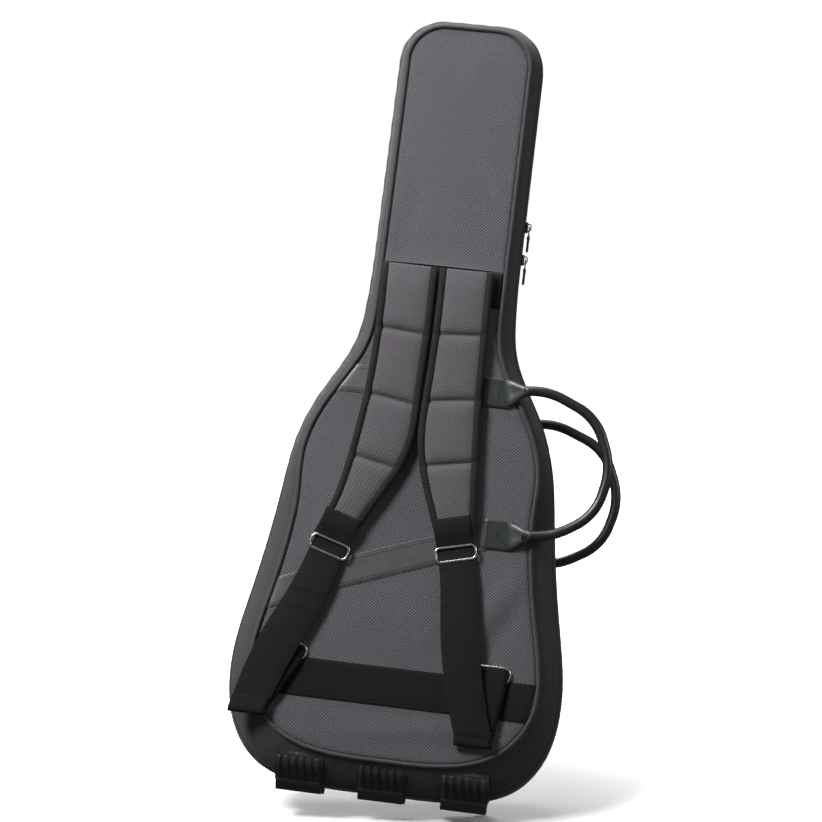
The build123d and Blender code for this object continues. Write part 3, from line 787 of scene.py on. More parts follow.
def handle_patch(name, centre, side, body, node, lines):
    corners = [[centre + (x, z) for x in (-PATCH, PATCH)] for z in (PATCH, -PATCH)]
    band(name, *corners, body, "patch_leather", [node], (2.6,), side, 3.2, 24, 24)
    for line in [[(-15, 15), (-15, -15)], [(13, 15), (13, -15)]] + lines:
        flat = even(np.array(line, float), 2.0) + centre
        STITCHES.seam(("thread_dark", body), lie_on_cloth(flat, 3.4, side), (0, side, 0), 3.2, 2.3, 0.45)


def handle_neck(name, side, moving, start, toward):
    """Leather that narrows from the flat patch to the round tube."""
    rows = []
    direction = toward / np.linalg.norm(toward)
    across = np.array([-direction[1], direction[0]])
    turn = np.linspace(0, 2 * math.pi, 28, endpoint=False)
    for t in np.linspace(0, 1, 12):
        ease = t * t * (3 - 2 * t)
        middle = start + direction * WEDGE * t
        wide = (PATCH - 0.6) * (1 - ease) + NECK_END * ease
        thick = 2.2 * (1 - ease) + NECK_END * ease
        depth = (HALF_DEPTH + 3.4) * (1 - ease) + HANDLE_DEPTH * ease
        power = 0.55 + 0.45 * ease
        c, s = np.cos(turn), np.sin(turn)
        a = wide * np.sign(c) * np.abs(c) ** power
        b = thick * np.sign(s) * np.abs(s) ** power
        crease = 1.3 * bump(a, 0, wide * 0.35) * math.sin(math.pi * t) * (s > 0)
        rows.append(np.column_stack([middle[0] + across[0] * a, side * (depth + b - crease),
                                     middle[1] + across[1] * a]))
    grid = np.array(rows)
    faces = grid_faces(len(rows), len(turn), 0, True)
    faces += [tuple(range(len(turn))), tuple(range((len(rows) - 1) * len(turn), len(rows) * len(turn)))]
    piece = mesh_object(name, grid.reshape(-1, 3), faces, None, "patch_leather", sharp=70)
    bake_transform(piece)


def handle(side, body, prefix):
    moving, shift = prefix + "_handle", LID_SHIFT * (side == LID)
    whole = rounded_route(LID_HANDLE_ROUTE if side == LID else HANDLE_ROUTE, HANDLE_RADII)
    path = whole[(np.linalg.norm(whole - whole[0], axis=1) > 30)
                 & (np.linalg.norm(whole - whole[-1], axis=1) > 24)]
    line = at_depth(path, side * HANDLE_DEPTH)
    s = lengths(line)
    radius = HANDLE_RADIUS + 0.05 * np.sin(s / 9.0) + 0.35 * (np.abs(s - s[-1] * 0.56) < s[-1] * 0.32)
    tube(moving + "_tube", line, radius, moving, "handle_leather", [moving], sides=20)
    inner_seam = line + at_depth(inward(path) * -HANDLE_RADIUS, 0.0)
    STITCHES.seam(("thread_dark", moving), inner_seam, (0, side, 0), 3.2, 2.2, 0.4)
    for which, patch, nearest, lines, rise in (("upper", UPPER_PATCH, whole[10], UPRIGHT_ROWS, 1.0),
                                               ("lower", LOWER_PATCH, whole[-11], BOX_X, 0.0)):
        centre = patch + shift
        handle_patch(f"{prefix}_patch_{which}_leather", centre, side, body,
                     f"{prefix}_handle_patch_{which}", lines)
        corner = centre + (12.0, rise)
        handle_neck(f"{prefix}_handle_neck_{which}", side, moving, corner, nearest - corner)


for side, body, prefix in HALVES:
    handle(side, body, prefix)

# ---------------------------------------------------------------- rubber feet
FOOT_WIDTH, FOOT_PITCH = 62.0, 108.0
FOOT_PROFILE = [(54.6, 47.5), (54.0, 42.0), (52.6, 35.5), (44.5, 25.5), (35.0, 14.5), (27.0, 4.5),
                (22.5, 0.5), (17.5, 0.0), (11.0, 0.4)]      # (depth, height), from the lip down to the sole
FOOT_WALL, FOOT_STEP = 1.5, 4.0      # how far its inner face lies behind the outer one, and above it
FOOT_INMOST = 9.5        # its inner face stays outside this depth
READ_EVERY = 9           # columns that share one reading of the gusset behind them
RIBS = 5
GRIP_SHARE = 0.54        # share of the profile that has ribs


def gusset_depth_at(height, x):
    """Depth of the gusset where it is this high, near the bottom of the bag."""
    v = np.linspace(0, 1, 60)
    low = np.array([np.interp(abs(x), gusset_path(k)[:60, 0], gusset_path(k)[:60, 1]) for k in v])
    return float(np.interp(height, low[::-1], gusset_depth(v)[::-1]))


def foot(name, x, side, body, node):
    profile = smooth_curve(FOOT_PROFILE, 46)
    s = lengths(profile)
    share = s / s[-1]
    u = np.linspace(-1, 1, 64)
    grid = np.empty((len(profile), len(u), 3))
    run = np.gradient(profile, axis=0)
    run /= np.linalg.norm(run, axis=1)[:, None]
    out = np.column_stack([-run[:, 1], run[:, 0]])
    for r, (depth, height) in enumerate(profile):
        skew = 5.0 * (share[r] - 0.3)
        bar = np.abs(((u * FOOT_WIDTH / 2 - skew) / (FOOT_WIDTH / (RIBS + 1)) + 0.5) % 1 - 0.5) * 2
        rib = np.clip((0.62 - bar) * 6, 0, 1) * (np.abs(u) < 0.8)
        window = np.clip((0.93 - np.abs(u)) * 14, 0, 1) * (0.06 < share[r] < GRIP_SHARE - 0.04)
        lift = -1.9 * (1 - np.maximum(rib, 1 - window))
        heel = np.clip((share[r] - GRIP_SHARE) * 25, 0, 1)      # plain, narrower heel below the ribs
        lift = lift * (1 - heel) - 2.4 * heel * np.clip((0.95 - share[r]) * 4, 0, 1)
        grid[r, :, 0] = x + u * FOOT_WIDTH / 2 * (1 - 0.05 * bump(share[r], 0, 0.06) - 0.05 * heel)
        grid[r, :, 1] = side * (depth + lift * out[r, 0] * -1)
        grid[r, :, 2] = np.maximum(height + lift * out[r, 1] * -1, 0)
    rows, cols = grid.shape[:2]
    back = grid.copy()
    back[:, :, 2] += FOOT_STEP
    for r in range(rows):
        for c in range(cols):
            if c % READ_EVERY == 0:
                limit = gusset_depth_at(back[r, c, 2], grid[r, c, 0]) - 1.0
            back[r, c, 1] = side * min(abs(grid[r, c, 1]) - FOOT_WALL, max(limit, FOOT_INMOST))
    two_faced(name, grid, back, body, "foot_rubber", [node], sharp=40)


for side, body, prefix in HALVES:
    for where, shift in (("left", -FOOT_PITCH), ("centre", 0.0), ("right", FOOT_PITCH)):
        foot(f"{prefix}_foot_{where}_rubber", shift, side, body, f"{prefix}_foot_{where}")

# ---------------------------------------------------------------- shoulder straps
PADS = {
    "left": {
        "outer": [(-82, 705), (-80, 620), (-83, 535), (-93, 450), (-108, 378), (-126, 336)],
        "inner": [(-7, 705), (-6, 620), (-8, 535), (-15, 450), (-52, 374), (-79, 322)],
        "link": (-103, 318), "tilt": -17, "quilts": (0.235, 0.475, 0.70),
        "front_left": [(-130, 302), (-154, 247), (-176, 200), (-205, 106)],
        "front_right": [(-83, 288), (-106, 230), (-128, 180), (-156, 106)],
        "loop": ((-207, -158), 92), "ring": (-142, 179), "seams": (0.30, 0.40),
    },
    "right": {
        "outer": [(-4, 705), (-3, 620), (-5, 540), (-4, 460), (20, 380), (38, 332)],
        "inner": [(68, 705), (70, 620), (72, 540), (77, 460), (82, 392), (86, 346)],
        "link": (62, 328), "tilt": 14, "quilts": (0.24, 0.48, 0.71),
        "front_left": [(47, 298), (55, 223), (66, 168), (87, 97)],
        "front_right": [(94, 310), (105, 229), (116, 168), (136, 97)],
        "loop": ((88, 137), 84), "ring": (124, 179), "seams": (),
    },
}
PAD_HALF = 6.0           # half the thickness of a pad at its middle
BIND_WIDTH = 10.0
PAD_ROWS, PAD_COLS = 210, 26
PATCH_SHARE = 0.86       # from here down the webbing patch covers the pad
PRESSURE, SWELL_STEPS = 7.0, 20
SWELL_RISE = 3.2         # how far the air may lift the cloth
# Section of the binding, (inwards, share of the pad's half thickness), round the edge from below.
TAPE_SECTION = [(8.0, -0.95), (4.5, -0.98), (1.8, -0.9), (0.4, -0.55), (0.2, -0.1), (0.6, 0.2), (0.0, 0.45),
                (0.6, 0.72), (2.2, 0.93), (4.5, 1.0), (7.0, 0.94), (9.2, 0.72), (BIND_WIDTH, 0.4)]
TAPE_SEAM = 7.6          # how far its stitches lie from the pad's edge


def pad_edges(pad, rows):
    return smooth_curve(pad["outer"], rows), smooth_curve(pad["inner"], rows)


def pad_taper(share):
    """Thickness of a pad along its length: thin under the hem and where it is sewn to the link."""
    top = 0.35 + 0.65 * np.clip(share / 0.07, 0, 1) ** 0.6
    return top * (1 - 0.86 * np.clip((share - PATCH_SHARE) / (1 - PATCH_SHARE), 0, 1) ** 1.5)


def quilt_dip(share, pad):
    dip = np.zeros(np.shape(share))
    for line in pad["quilts"]:
        dip = np.maximum(dip, np.exp(-np.abs((share - line) / 0.0105) ** 1.1))
    return dip


def pad_grid(pad):
    """Top and underside of the stuffed part, between the bindings."""
    outer, inner = pad_edges(pad, PAD_ROWS)
    share = np.linspace(0, 1, PAD_ROWS)
    width = np.linalg.norm(inner - outer, axis=1)[:, None]
    under_tape = (inner - outer) / width * (BIND_WIDTH - 3)
    a, b = outer + under_tape, inner - under_tape
    t = np.linspace(-1, 1, PAD_COLS)
    flat = a[:, None] + (b - a)[:, None] * ((np.sin(t * math.pi / 2) * 0.4 + t * 0.6 + 1) / 2)[None, :, None]
    crown = (1 - np.abs(t) ** 3.2)[None]
    thick = PAD_HALF * pad_taper(share)[:, None]
    dip = quilt_dip(share, pad)[:, None]
    rise = thick * (0.45 + 0.65 * crown) * (1 - 0.95 * dip)
    top = np.stack([flat[..., 0], -(PAD_MIDDLE + rise), flat[..., 1]], -1)
    under = np.stack([flat[..., 0], -(PAD_MIDDLE - 0.86 * thick * (0.6 + 0.4 * crown)), flat[..., 1]], -1)
    return top, under, share


def swell(obj, pinned, rise):
    """Lets air pressure fill the cloth between its stitched lines; no point moves further than rise."""
    before = np.array([v.co for v in obj.data.vertices])
    group = obj.vertex_groups.new(name="sewn")
    for i, weight in enumerate(pinned):
        if weight > 0:
            group.add([i], float(weight), "REPLACE")
    cloth = obj.modifiers.new("cloth", "CLOTH")
    settings = cloth.settings
    settings.vertex_group_mass = "sewn"
    settings.use_pressure = True
    settings.uniform_pressure_force = PRESSURE
    settings.quality = 6
    settings.mass = 0.25
    settings.tension_stiffness = settings.compression_stiffness = 18.0
    settings.bending_stiffness = 0.6
    settings.effector_weights.gravity = 0.0
    scene = bpy.context.scene
    cloth.point_cache.frame_start, cloth.point_cache.frame_end = 1, SWELL_STEPS
    for step in range(1, SWELL_STEPS + 1):
        scene.frame_set(step)
    shaped = obj.evaluated_get(bpy.context.evaluated_depsgraph_get())
    after = np.array([v.co for v in shaped.data.vertices])
    obj.modifiers.remove(cloth)
    obj.vertex_groups.remove(group)
    scene.frame_set(1)
    move = after - before
    reach = np.linalg.norm(move, axis=1)[:, None]
    move *= np.minimum(1.0, rise * MM / np.maximum(reach, 1e-9))
    obj.data.vertices.foreach_set("co", (before + move).ravel())
    obj.data.update()


def pad_body(side, pad):
    top, under, share = pad_grid(pad)
    rows, cols = top.shape[:2]
    body = side + "_pad"
    obj = two_faced(body + "_cloth", top, under, None, "pad_fabric", [], np.tile(grid_uv(top), (2, 1)), 80)
    sewn = np.ones((2, rows, cols))
    sewn[0] = quilt_dip(share, pad)[:, None] > 0.25
    sewn[0][:, [0, 1, -1, -2]] = 1
    sewn[0][(share < 0.02) | (share > PATCH_SHARE)] = 1
    swell(obj, sewn.ravel(), SWELL_RISE)
    modifier = obj.modifiers.new("smooth", "SUBSURF")
    modifier.levels = modifier.render_levels = 1
    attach(obj, body)
    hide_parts(body)
    for line in pad["quilts"]:
        r = int(round(line * (rows - 1)))
        points = even(top[r, 2:-2] + (0, -0.2, 0), 1.5)
        STITCHES.seam(("thread_dark", body), points, (0, -1, 0), 3.0, 2.2, 0.5)


def pad_binding(side, pad):
    """Tape folded round both edges of the pad, with its row of stitches."""
    outer, inner = pad_edges(pad, 90)
    body = side + "_pad"
    share = np.linspace(0, 1, 90)
    parts = []
    for path, sign in ((outer, -1), (inner, 1)):
        s = lengths(path)
        normal = inward(path) * -sign
        thick = (PAD_HALF * pad_taper(share))[:, None]
        dip = quilt_dip(share, pad)[:, None] * 0.35
        chain = np.array(TAPE_SECTION + TAPE_SECTION[:1])
        wave = 0.25 * np.sin(s / 7.1)[:, None]
        grid = np.empty((len(path), len(chain), 3))
        grid[:, :, 0] = path[:, :1] + normal[:, :1] * chain[:, 0]
        grid[:, :, 1] = -(PAD_MIDDLE + thick * chain[:, 1] * (1 - dip) + wave * (chain[:, 1] > 0))
        grid[:, :, 2] = path[:, 1:] + normal[:, 1:] * chain[:, 0]
        parts.append(grid)
        sewn = path + normal * TAPE_SEAM
        depth = PAD_MIDDLE + (thick * 0.92 * (1 - dip))[:, 0] + 0.3
        line = np.column_stack([sewn[:, 0], -depth, sewn[:, 1]])
        STITCHES.seam(("thread_dark", body), line, (0, -1, 0), 3.2, 2.3, 0.42)
    rows, cols = parts[0].shape[:2]
    points, faces, uv = [], [], []
    for k, grid in enumerate(parts):
        points.append(grid.reshape(-1, 3))
        uv.append(grid_uv(grid))
        faces += grid_faces(rows, cols, k * rows * cols)
    mesh_object(body + "_binding_tape", np.vstack(points), faces, body, "binding_tape", [body + "_binding"],
                np.vstack(uv), sharp=80)


def link_axes(pad):
    turn = math.radians(pad["tilt"])
    across = np.array([math.cos(turn), math.sin(turn)])
    return np.array(pad["link"], float), across, np.array([-across[1], across[0]])


def wire_link(name, centre, tilt, depth, body, node, size=(56.0, 22.0), corner=6.5, radius=1.7):
    turn = math.radians(tilt)
    flat = rounded_loop(size[0] - 2 * radius, size[1] - 2 * radius, corner)
    x = centre[0] + flat[:, 0] * math.cos(turn) - flat[:, 1] * math.sin(turn)
    z = centre[1] + flat[:, 0] * math.sin(turn) + flat[:, 1] * math.cos(turn)
    tube(name, at_depth(np.column_stack([x, z]), -depth), radius, body, "nickel_wire", [node], loop=True)


# Height above the link, depth, and share of the full width, of the webbing that folds through it.
PATCH_LEVELS = [(47, 76.6, 1.0), (41, 77.1, 1.0), (33, 76.7, 1.0), (24, 75.3, 1.0), (17, 73.2, 0.99),
                (11.5, 71.8, 0.98), (8, 70.3, 0.97), (4, 67.6, 0.97), (-4, 66.9, 0.97)]


def pad_patch(side, pad):
    """Webbing sewn on the end of the pad, folded through the link."""
    centre, across, up = link_axes(pad)
    half = 24.0
    rows = []
    for height, depth, spread in PATCH_LEVELS:
        t = np.linspace(-half * spread, half * spread, 12)[:, None]
        flat = centre + up * height + across * t
        rows.append(at_depth(flat, -depth))
    grid = np.array([smooth_curve(np.array(rows)[:, c], 40) for c in range(12)]).transpose(1, 0, 2)
    body = side + "_pad"
    slab(body + "_end_webbing", grid, (0, 1.6, 0), body, "webbing", [body + "_patch"])
    top, left, right = grid[2, 1:-1], grid[2:22, 1], grid[2:22, -2]
    for line in (top, left, right, grid[22, 1:-1]):
        STITCHES.seam(("thread_dark", body), line + (0, -0.25, 0), (0, -1, 0), 3.2, 2.3, 0.42)


FRONT_BOW = 3.0          # how far the webbing stands away from the bag at the middle of its run
LOOP_FRONT = 73.0        # depth of the webbing where it turns back
RING_DEPTH = 66.6        # and of the run from there up to the ring
WEB_HALF = 23.5          # half the width of the webbing


def webbing_front(side, pad):
    centre, across, up = link_axes(pad)
    left = [tuple(centre - across * WEB_HALF + up * h) for h in (6.0, -6.0, -13.0)] + pad["front_left"][1:]
    right = [tuple(centre + across * WEB_HALF + up * h) for h in (6.0, -6.0, -13.0)] + pad["front_right"][1:]
    rows, cols = 90, 10
    left, right = smooth_curve(left, rows), smooth_curve(right, rows)
    share = np.linspace(0, 1, rows)
    depth = PAD_MIDDLE - 1.5 * bump(share, 0.02, 0.05) + (LOOP_FRONT - PAD_MIDDLE) * share
    depth += FRONT_BOW * np.sin(math.pi * share) ** 1.3
    t = np.linspace(0, 1, cols)[None, :, None]
    flat = left[:, None] * (1 - t) + right[:, None] * t
    grid = np.empty((rows, cols, 3))
    grid[:, :, 0], grid[:, :, 2] = flat[..., 0], flat[..., 1]
    cup = 0.9 * (1 - (2 * t[0, :, 0] - 1) ** 2)
    step = sum((0.7 / (1 + np.exp(-(share - at) * 160)) for at in pad["seams"]), np.zeros(rows))
    grid[:, :, 1] = -(depth[:, None] + cup[None] * np.sin(math.pi * share)[:, None] - step[:, None])
    body = side + "_webbing_front"
    slab(body + "_cloth", grid, (0, 1.7, 0), body, "webbing", [body])
    for at in pad["seams"]:
        line = grid[int(at * (rows - 1)), 1:-1] + (0, -0.2, 0)
        STITCHES.seam(("thread_dark", body), line, (0, -1, 0), 3.0, 2.2, 0.45)
    wire_link(side + "_strap_link_wire", pad["link"], pad["tilt"], PAD_MIDDLE, body, side + "_strap_link")


def webbing_back(side, pad):
    """The run that turns up behind the front one, to the ring on the lower band."""
    (loop_left, loop_right), low = pad["loop"]
    end_left, end_right = np.array(pad["front_left"][-1], float), np.array(pad["front_right"][-1], float)
    rx, rz = pad["ring"]
    turn = np.linspace(0, math.pi, 13)
    middle, radius = (LOOP_FRONT - 1.0 + RING_DEPTH) / 2, (LOOP_FRONT - 1.0 - RING_DEPTH) / 2
    rows = [(LOOP_FRONT - 1.9, end_left + (1.5, 8.0), end_right + (1.5, 8.0)),
            (LOOP_FRONT - 1.4, end_left, end_right)]
    for a in turn:
        z = low + 4.0 - 4.0 * math.sin(a)
        rows.append((middle + radius * math.cos(a), np.array((loop_left, z)), np.array((loop_right, z))))
    for t in (0.25, 0.5, 0.75, 0.92):
        left = np.array((loop_left, low + 4.0)) * (1 - t) + np.array((rx - WEB_HALF, rz - 8.0)) * t
        right = np.array((loop_right, low + 4.0)) * (1 - t) + np.array((rx + WEB_HALF, rz - 8.0)) * t
        rows.append((RING_DEPTH + 1.6 * math.sin(math.pi * t), left, right))
    for depth, height in ((66.4, rz - 4.0), (65.6, rz + 7.0)):
        rows.append((depth, np.array((rx - WEB_HALF, height)), np.array((rx + WEB_HALF, height))))
    cols = 9
    t = np.linspace(0, 1, cols)[:, None]
    grid = np.array([at_depth(left * (1 - t) + right * t, -depth) for depth, left, right in rows])
    grid = np.array([smooth_curve(grid[:, c], 70) for c in range(cols)]).transpose(1, 0, 2)
    body = side + "_webbing_back"
    sheet_object = strip(body + "_cloth", grid, body, "webbing", [body])
    solid = sheet_object.modifiers.new("thickness", "SOLIDIFY")
    solid.thickness, solid.offset = 1.5 * MM, 0.0
    wire_link(side + "_ring_wire", (rx, rz), 0, 63.9, body, side + "_ring", corner=8.5)


for side, pad in PADS.items():
    pad_body(side, pad)
    pad_binding(side, pad)
    pad_patch(side, pad)
    webbing_front(side, pad)
    webbing_back(side, pad)

# ---------------------------------------------------------------- zip sliders and pulls
SLIDER_X, SLIDER_DEEP = 99.4, 4.5
SLIDERS = {"upper": 790.0, "lower": 744.0}
SHIELD = [(-6.2, 6.8), (6.2, 6.8), (6.4, 1.5), (4.2, -6.8), (-4.2, -6.8), (-6.4, 1.5)]


def extruded(name, outline, levels, place, body, slot, replaces=(), sharp=45):
    """Solid through shrunken copies of an outline.

    Levels are (height, inset), and place(a, b, height) gives the 3-D point.
    """
    outline = np.asarray(outline, float)
    loop = np.vstack([outline, outline[:1]])
    normal = inward(loop)[:-1]
    points, count = [], len(outline)
    for height, inset in levels:
        points += [place(a, b, height) for a, b in outline + normal * inset]
    faces = grid_faces(len(levels), count, 0, True)
    faces += [tuple(range(count)), tuple(range(len(points) - count, len(points)))]
    flat = np.tile(outline, (len(levels), 1))
    return mesh_object(name, points, faces, body, slot, replaces, flat, sharp)


def rounded_polygon(corners, radius, count=6):
    """Counterclockwise polygon with rounded corners."""
    corners = [np.array(c, float) for c in corners]
    points = []
    for before, corner, after in zip(corners[-1:] + corners[:-1], corners, corners[1:] + corners[:1]):
        a = corner + (before - corner) / np.linalg.norm(before - corner) * radius
        b = corner + (after - corner) / np.linalg.norm(after - corner) * radius
        for t in np.linspace(0, 1, count):
            points.append((1 - t) ** 2 * a + 2 * t * (1 - t) * corner + t * t * b)
    return np.array(points)


def edge_levels(low, high, round_by):
    """Levels of a solid whose two rims are rounded."""
    return [(low, round_by), (low + 0.3 * round_by, 0.3 * round_by), (low + round_by, 0),
            (high - round_by, 0), (high - 0.3 * round_by, 0.3 * round_by), (high, round_by)]


def main_slider(which, z):
    body = "main_slider_" + which
    shield = rounded_polygon(SHIELD[::-1], 1.6)
    extruded(body + "_shield", shield, edge_levels(SLIDER_X, SLIDER_X + SLIDER_DEEP - 0.6, 0.9),
             lambda a, b, h: (h, a, z + b), body, "slider_metal", [body])
    face = SLIDER_X + SLIDER_DEEP - 1.0
    bridge = smooth_curve([(face, 5.4), (face + 3.6, 4.6), (face + 4.4, 1.6), (face + 3.4, -3.0),
                           (face, -4.8)], 24)
    line = np.column_stack([bridge[:, 0], np.zeros(24), z + bridge[:, 1]])
    tube(body + "_bridge", line, 1.15, body, "slider_metal", oval=(0.7, 1.25), sides=12)


def main_pull(which, z):
    """Wire bail, leather tab between two rows of stitches, and the metal clip at its top."""
    body = "main_pull_" + which
    x = SLIDER_X + SLIDER_DEEP + 1.3
    bail = rounded_loop(9.0 - 1.6, 15.0 - 1.6, 2.8)
    wire = np.column_stack([np.full(len(bail), x), bail[:, 0], z - 5.5 + bail[:, 1]])
    tube(f"main_pull_bail_{which}", wire, 0.85, body, "slider_metal", [f"main_pull_link_{which}"],
         loop=True, sides=10)
    middle = z - 23.5
    tab = rounded_polygon([(-3.4, 10.5), (-4.8, -5), (-4.0, -10.3), (4.0, -10.3), (4.8, -5), (3.4, 10.5)],
                          2.2)
    extruded(f"main_pull_leather_{which}", tab, edge_levels(x - 1.5, x + 1.5, 0.7),
             lambda a, b, h: (h, a, middle + b), body, "handle_leather", [f"main_pull_tab_{which}"])
    rim = rounded_polygon([(-2.4, 8.0), (-3.4, -4), (-2.8, -8.2), (2.8, -8.2), (3.4, -4), (2.4, 8.0)], 1.6)
    line = np.column_stack([np.full(len(rim), x + 1.6), rim[:, 0], middle + rim[:, 1]])
    STITCHES.seam(("thread", body), line, (1, 0, 0), 2.2, 1.5, 0.28)
    clip = rounded_polygon([(-3.8, -2.2), (3.8, -2.2), (3.8, 2.2), (-3.8, 2.2)], 1.0)
    extruded(f"main_pull_clip_{which}", clip, edge_levels(x - 2.1, x + 2.1, 0.7),
             lambda a, b, h: (h, a, z - 14.2 + b), body, "slider_metal")


for which, height in SLIDERS.items():
    main_slider(which, height)
    main_pull(which, height)

# ---------------------------------------------------------------- front pocket
POCKET_LOW, POCKET_TOP = 118.0, 312.0
POCKET_FACE = 77.6       # depth of the pocket's panel
MOUTH_LOW, MOUTH_TOP, MOUTH_HALF = 276.0, 288.0, 115.0
POCKET_INSET = 24.0


def pocket_side():
    """Right edge of the pocket with its two rounded corners, from the bottom centre to the top centre."""
    path = HALF_PANEL[:-1] + inward(HALF_PANEL)[:-1] * POCKET_INSET
    side = path[(path[:, 1] > POCKET_LOW) & (path[:, 1] < POCKET_TOP) & (path[:, 0] > 100)]
    corners = [(0, POCKET_LOW), (side[0, 0] - 18, POCKET_LOW), tuple(side[6]), *map(tuple, side[12:-10:12]),
               tuple(side[-6]), (side[-1, 0] - 16, POCKET_TOP), (0, POCKET_TOP)]
    return corners


def pocket():
    corners = np.array(pocket_side(), float)
    run = smooth_curve(corners[1:-1], 90, (1, 0), (-1, 0))
    below, above = np.linspace(*corners[:2], 16), np.linspace(*corners[-2:], 16)
    half = np.vstack([below[:-1], run, above[1:]])
    loop = np.vstack([half, half[-2::-1] * (-1, 1)])
    wall = rail(loop, [(0.0, 60.4), (0.2, 66.0), (0.0, 71.0), (0.3, 75.2), (1.4, 76.6)], LID)
    strip("pocket_gusset_cloth", wall, "lid", "gusset_fabric", ["pocket_gusset"])
    cord = rail(loop, circle_section((0.6, 77.0), 1.9, 10), LID, True)
    strip("pocket_piping", cord, "lid", "piping_cord")
    seam = rail(loop, [(4.6, 78.4)], LID)[:, 0]
    STITCHES.seam(("thread", "lid"), seam, (0, 1, 0), 3.4, 2.3, 0.4)
    ys = run[:, 1]
    for low, high, node in ((POCKET_LOW, MOUTH_LOW, "pocket_panel"), (MOUTH_TOP, POCKET_TOP, None)):
        z = np.linspace(low + 0.3, high - 0.3, 60 if node else 12)
        width = np.interp(z, ys, run[:, 0]) - 1.2
        t = np.linspace(-1, 1, 48)
        spread = 1.4 * t - 0.4 * t ** 3
        x = width[:, None] * spread[None]
        edge = np.minimum(np.abs(width[:, None] - np.abs(x)),
                          np.minimum(z - POCKET_LOW, POCKET_TOP - z)[:, None])
        fill = (1.7 * (1 - np.exp(-edge / 22)) - 1.5 * np.exp(-edge / 3.0)
                + 0.8 * bump(x + z[:, None] * 0.5, 40, 30))
        lip = 0.5 * np.exp(-np.abs(z - (high if node else low)) / 3.0)[:, None]
        grid = np.stack([x, POCKET_FACE + fill + lip, np.repeat(z[:, None], 48, 1)], -1)
        slab("pocket_panel_lower_cloth" if node else "pocket_panel_upper_cloth", grid, (0, -1.4, 0),
             "lid", "shell_fabric", [node] if node else ())
    t = np.linspace(-MOUTH_HALF - 8, MOUTH_HALF + 8, 60)
    tape = np.stack([np.repeat(t[:, None], 5, 1), np.full((60, 5), 77.1),
                     np.repeat(np.linspace(MOUTH_LOW - 3, MOUTH_TOP + 3, 5)[None], 60, 0)], -1)
    slab("pocket_zip_tape", tape, (0, -0.8, 0), "lid", "webbing", ["pocket_zip"])
    teeth = np.arange(-MOUTH_HALF, MOUTH_HALF, TOOTH_PITCH)
    centre = np.column_stack([teeth, np.full(len(teeth), 77.4),
                              np.full(len(teeth), (MOUTH_LOW + MOUTH_TOP) / 2)])
    STITCHES.add(("zip_coil", "lid"), centre, np.tile((0.0, 0.0, 1.0), (len(teeth), 1)),
                 np.tile((0.0, 1.0, 0.0), (len(teeth), 1)), 4.6, 0.75)
    for z in (MOUTH_LOW - 4.5, MOUTH_TOP + 4.5):
        line = np.column_stack([t, np.full(60, POCKET_FACE + 1.9), np.full(60, z)])
        STITCHES.seam(("thread", "lid"), line, (0, 1, 0), 3.4, 2.3, 0.4)


def pocket_slider():
    x, z, face = -100.0, (MOUTH_LOW + MOUTH_TOP) / 2, 78.6
    shield = rounded_polygon([(7, -4.2), (7, 4.2), (1.5, 5), (-7, 3.4), (-7, -3.4), (1.5, -5)], 1.5)
    extruded("pocket_slider_shield", shield, edge_levels(face, face + 3.6, 0.9),
             lambda a, b, h: (x + a, h, z + b), "pocket_slider", "slider_metal", ["pocket_slider"])
    bridge = smooth_curve([(4.6, face + 3.0), (3.6, face + 5.6), (0.0, face + 6.0), (-3.2, face + 5.2),
                           (-4.8, face + 3.0)], 20)
    line = np.column_stack([x + bridge[:, 0], bridge[:, 1], np.full(20, z)])
    tube("pocket_slider_bridge", line, 1.1, "pocket_slider", "slider_metal", oval=(0.7, 1.2), sides=12)
    top, low = z + 0.6, z - 34.9
    tab = rounded_polygon([(-4.4, low), (4.4, low), (4.0, low + 26), (2.6, top), (-2.6, top),
                           (-4.0, low + 26)], 2.0)
    extruded("pocket_pull_leather", tab, edge_levels(83.3, 85.6, 0.6),
             lambda a, b, h: (x + a, h, b), "pocket_pull", "handle_leather", ["pocket_pull"])
    rim = rounded_polygon([(-2.9, low + 2), (2.9, low + 2), (2.6, low + 25), (1.8, top - 5), (-1.8, top - 5),
                           (-2.6, low + 25)], 1.4)
    STITCHES.seam(("thread", "pocket_pull"), at_depth(rim + (x, 0.0), 85.7), (0, 1, 0), 2.3, 1.6, 0.28)


pocket()
pocket_slider()

# ---------------------------------------------------------------- neck support inside
def neck_cradle():
    notch = [(27 * math.cos(a), -24.0 - 6.5 * math.sin(a)) for a in np.linspace(0, math.pi, 16)]
    corners = [(-48, -44.4), (48, -44.4), (48, -10.8), (27, -10.8), *notch, (-27, -10.8), (-48, -10.8)]
    outline = rounded_polygon(corners, 1.6, 4)
    extruded("neck_cradle_plush", outline, edge_levels(700.3, 769.7, 3.0), lambda a, b, h: (a, b, h),
             "body", "lining_plush", ["neck_cradle"], sharp=70)


def neck_strap(side, sign):
    x = np.linspace(45.0, 0.4, 24) * sign
    z = np.linspace(720.5, 749.5, 10)
    grid = np.stack([np.repeat(x[:, None], 10, 1), np.full((24, 10), -7.8), np.repeat(z[None], 24, 0)], -1)
    grid[:, :, 1] += 0.5 * np.sin(np.linspace(0, math.pi, 24))[:, None] - 0.4
    body = "neck_strap_" + side
    slab(body + "_cloth", grid, (0, -1.7, 0), body, "webbing", [body])
    for c in (1, 8):
        STITCHES.seam(("thread", body), grid[1:-1, c] + (0, 0.15, 0), (0, 1, 0), 3.2, 2.2, 0.4)


neck_cradle()
neck_strap("left", -1)
neck_strap("right", 1)
STITCHES.make({"thread": "thread", "thread_dark": "thread_dark", "zip_coil": "zip_coil"})

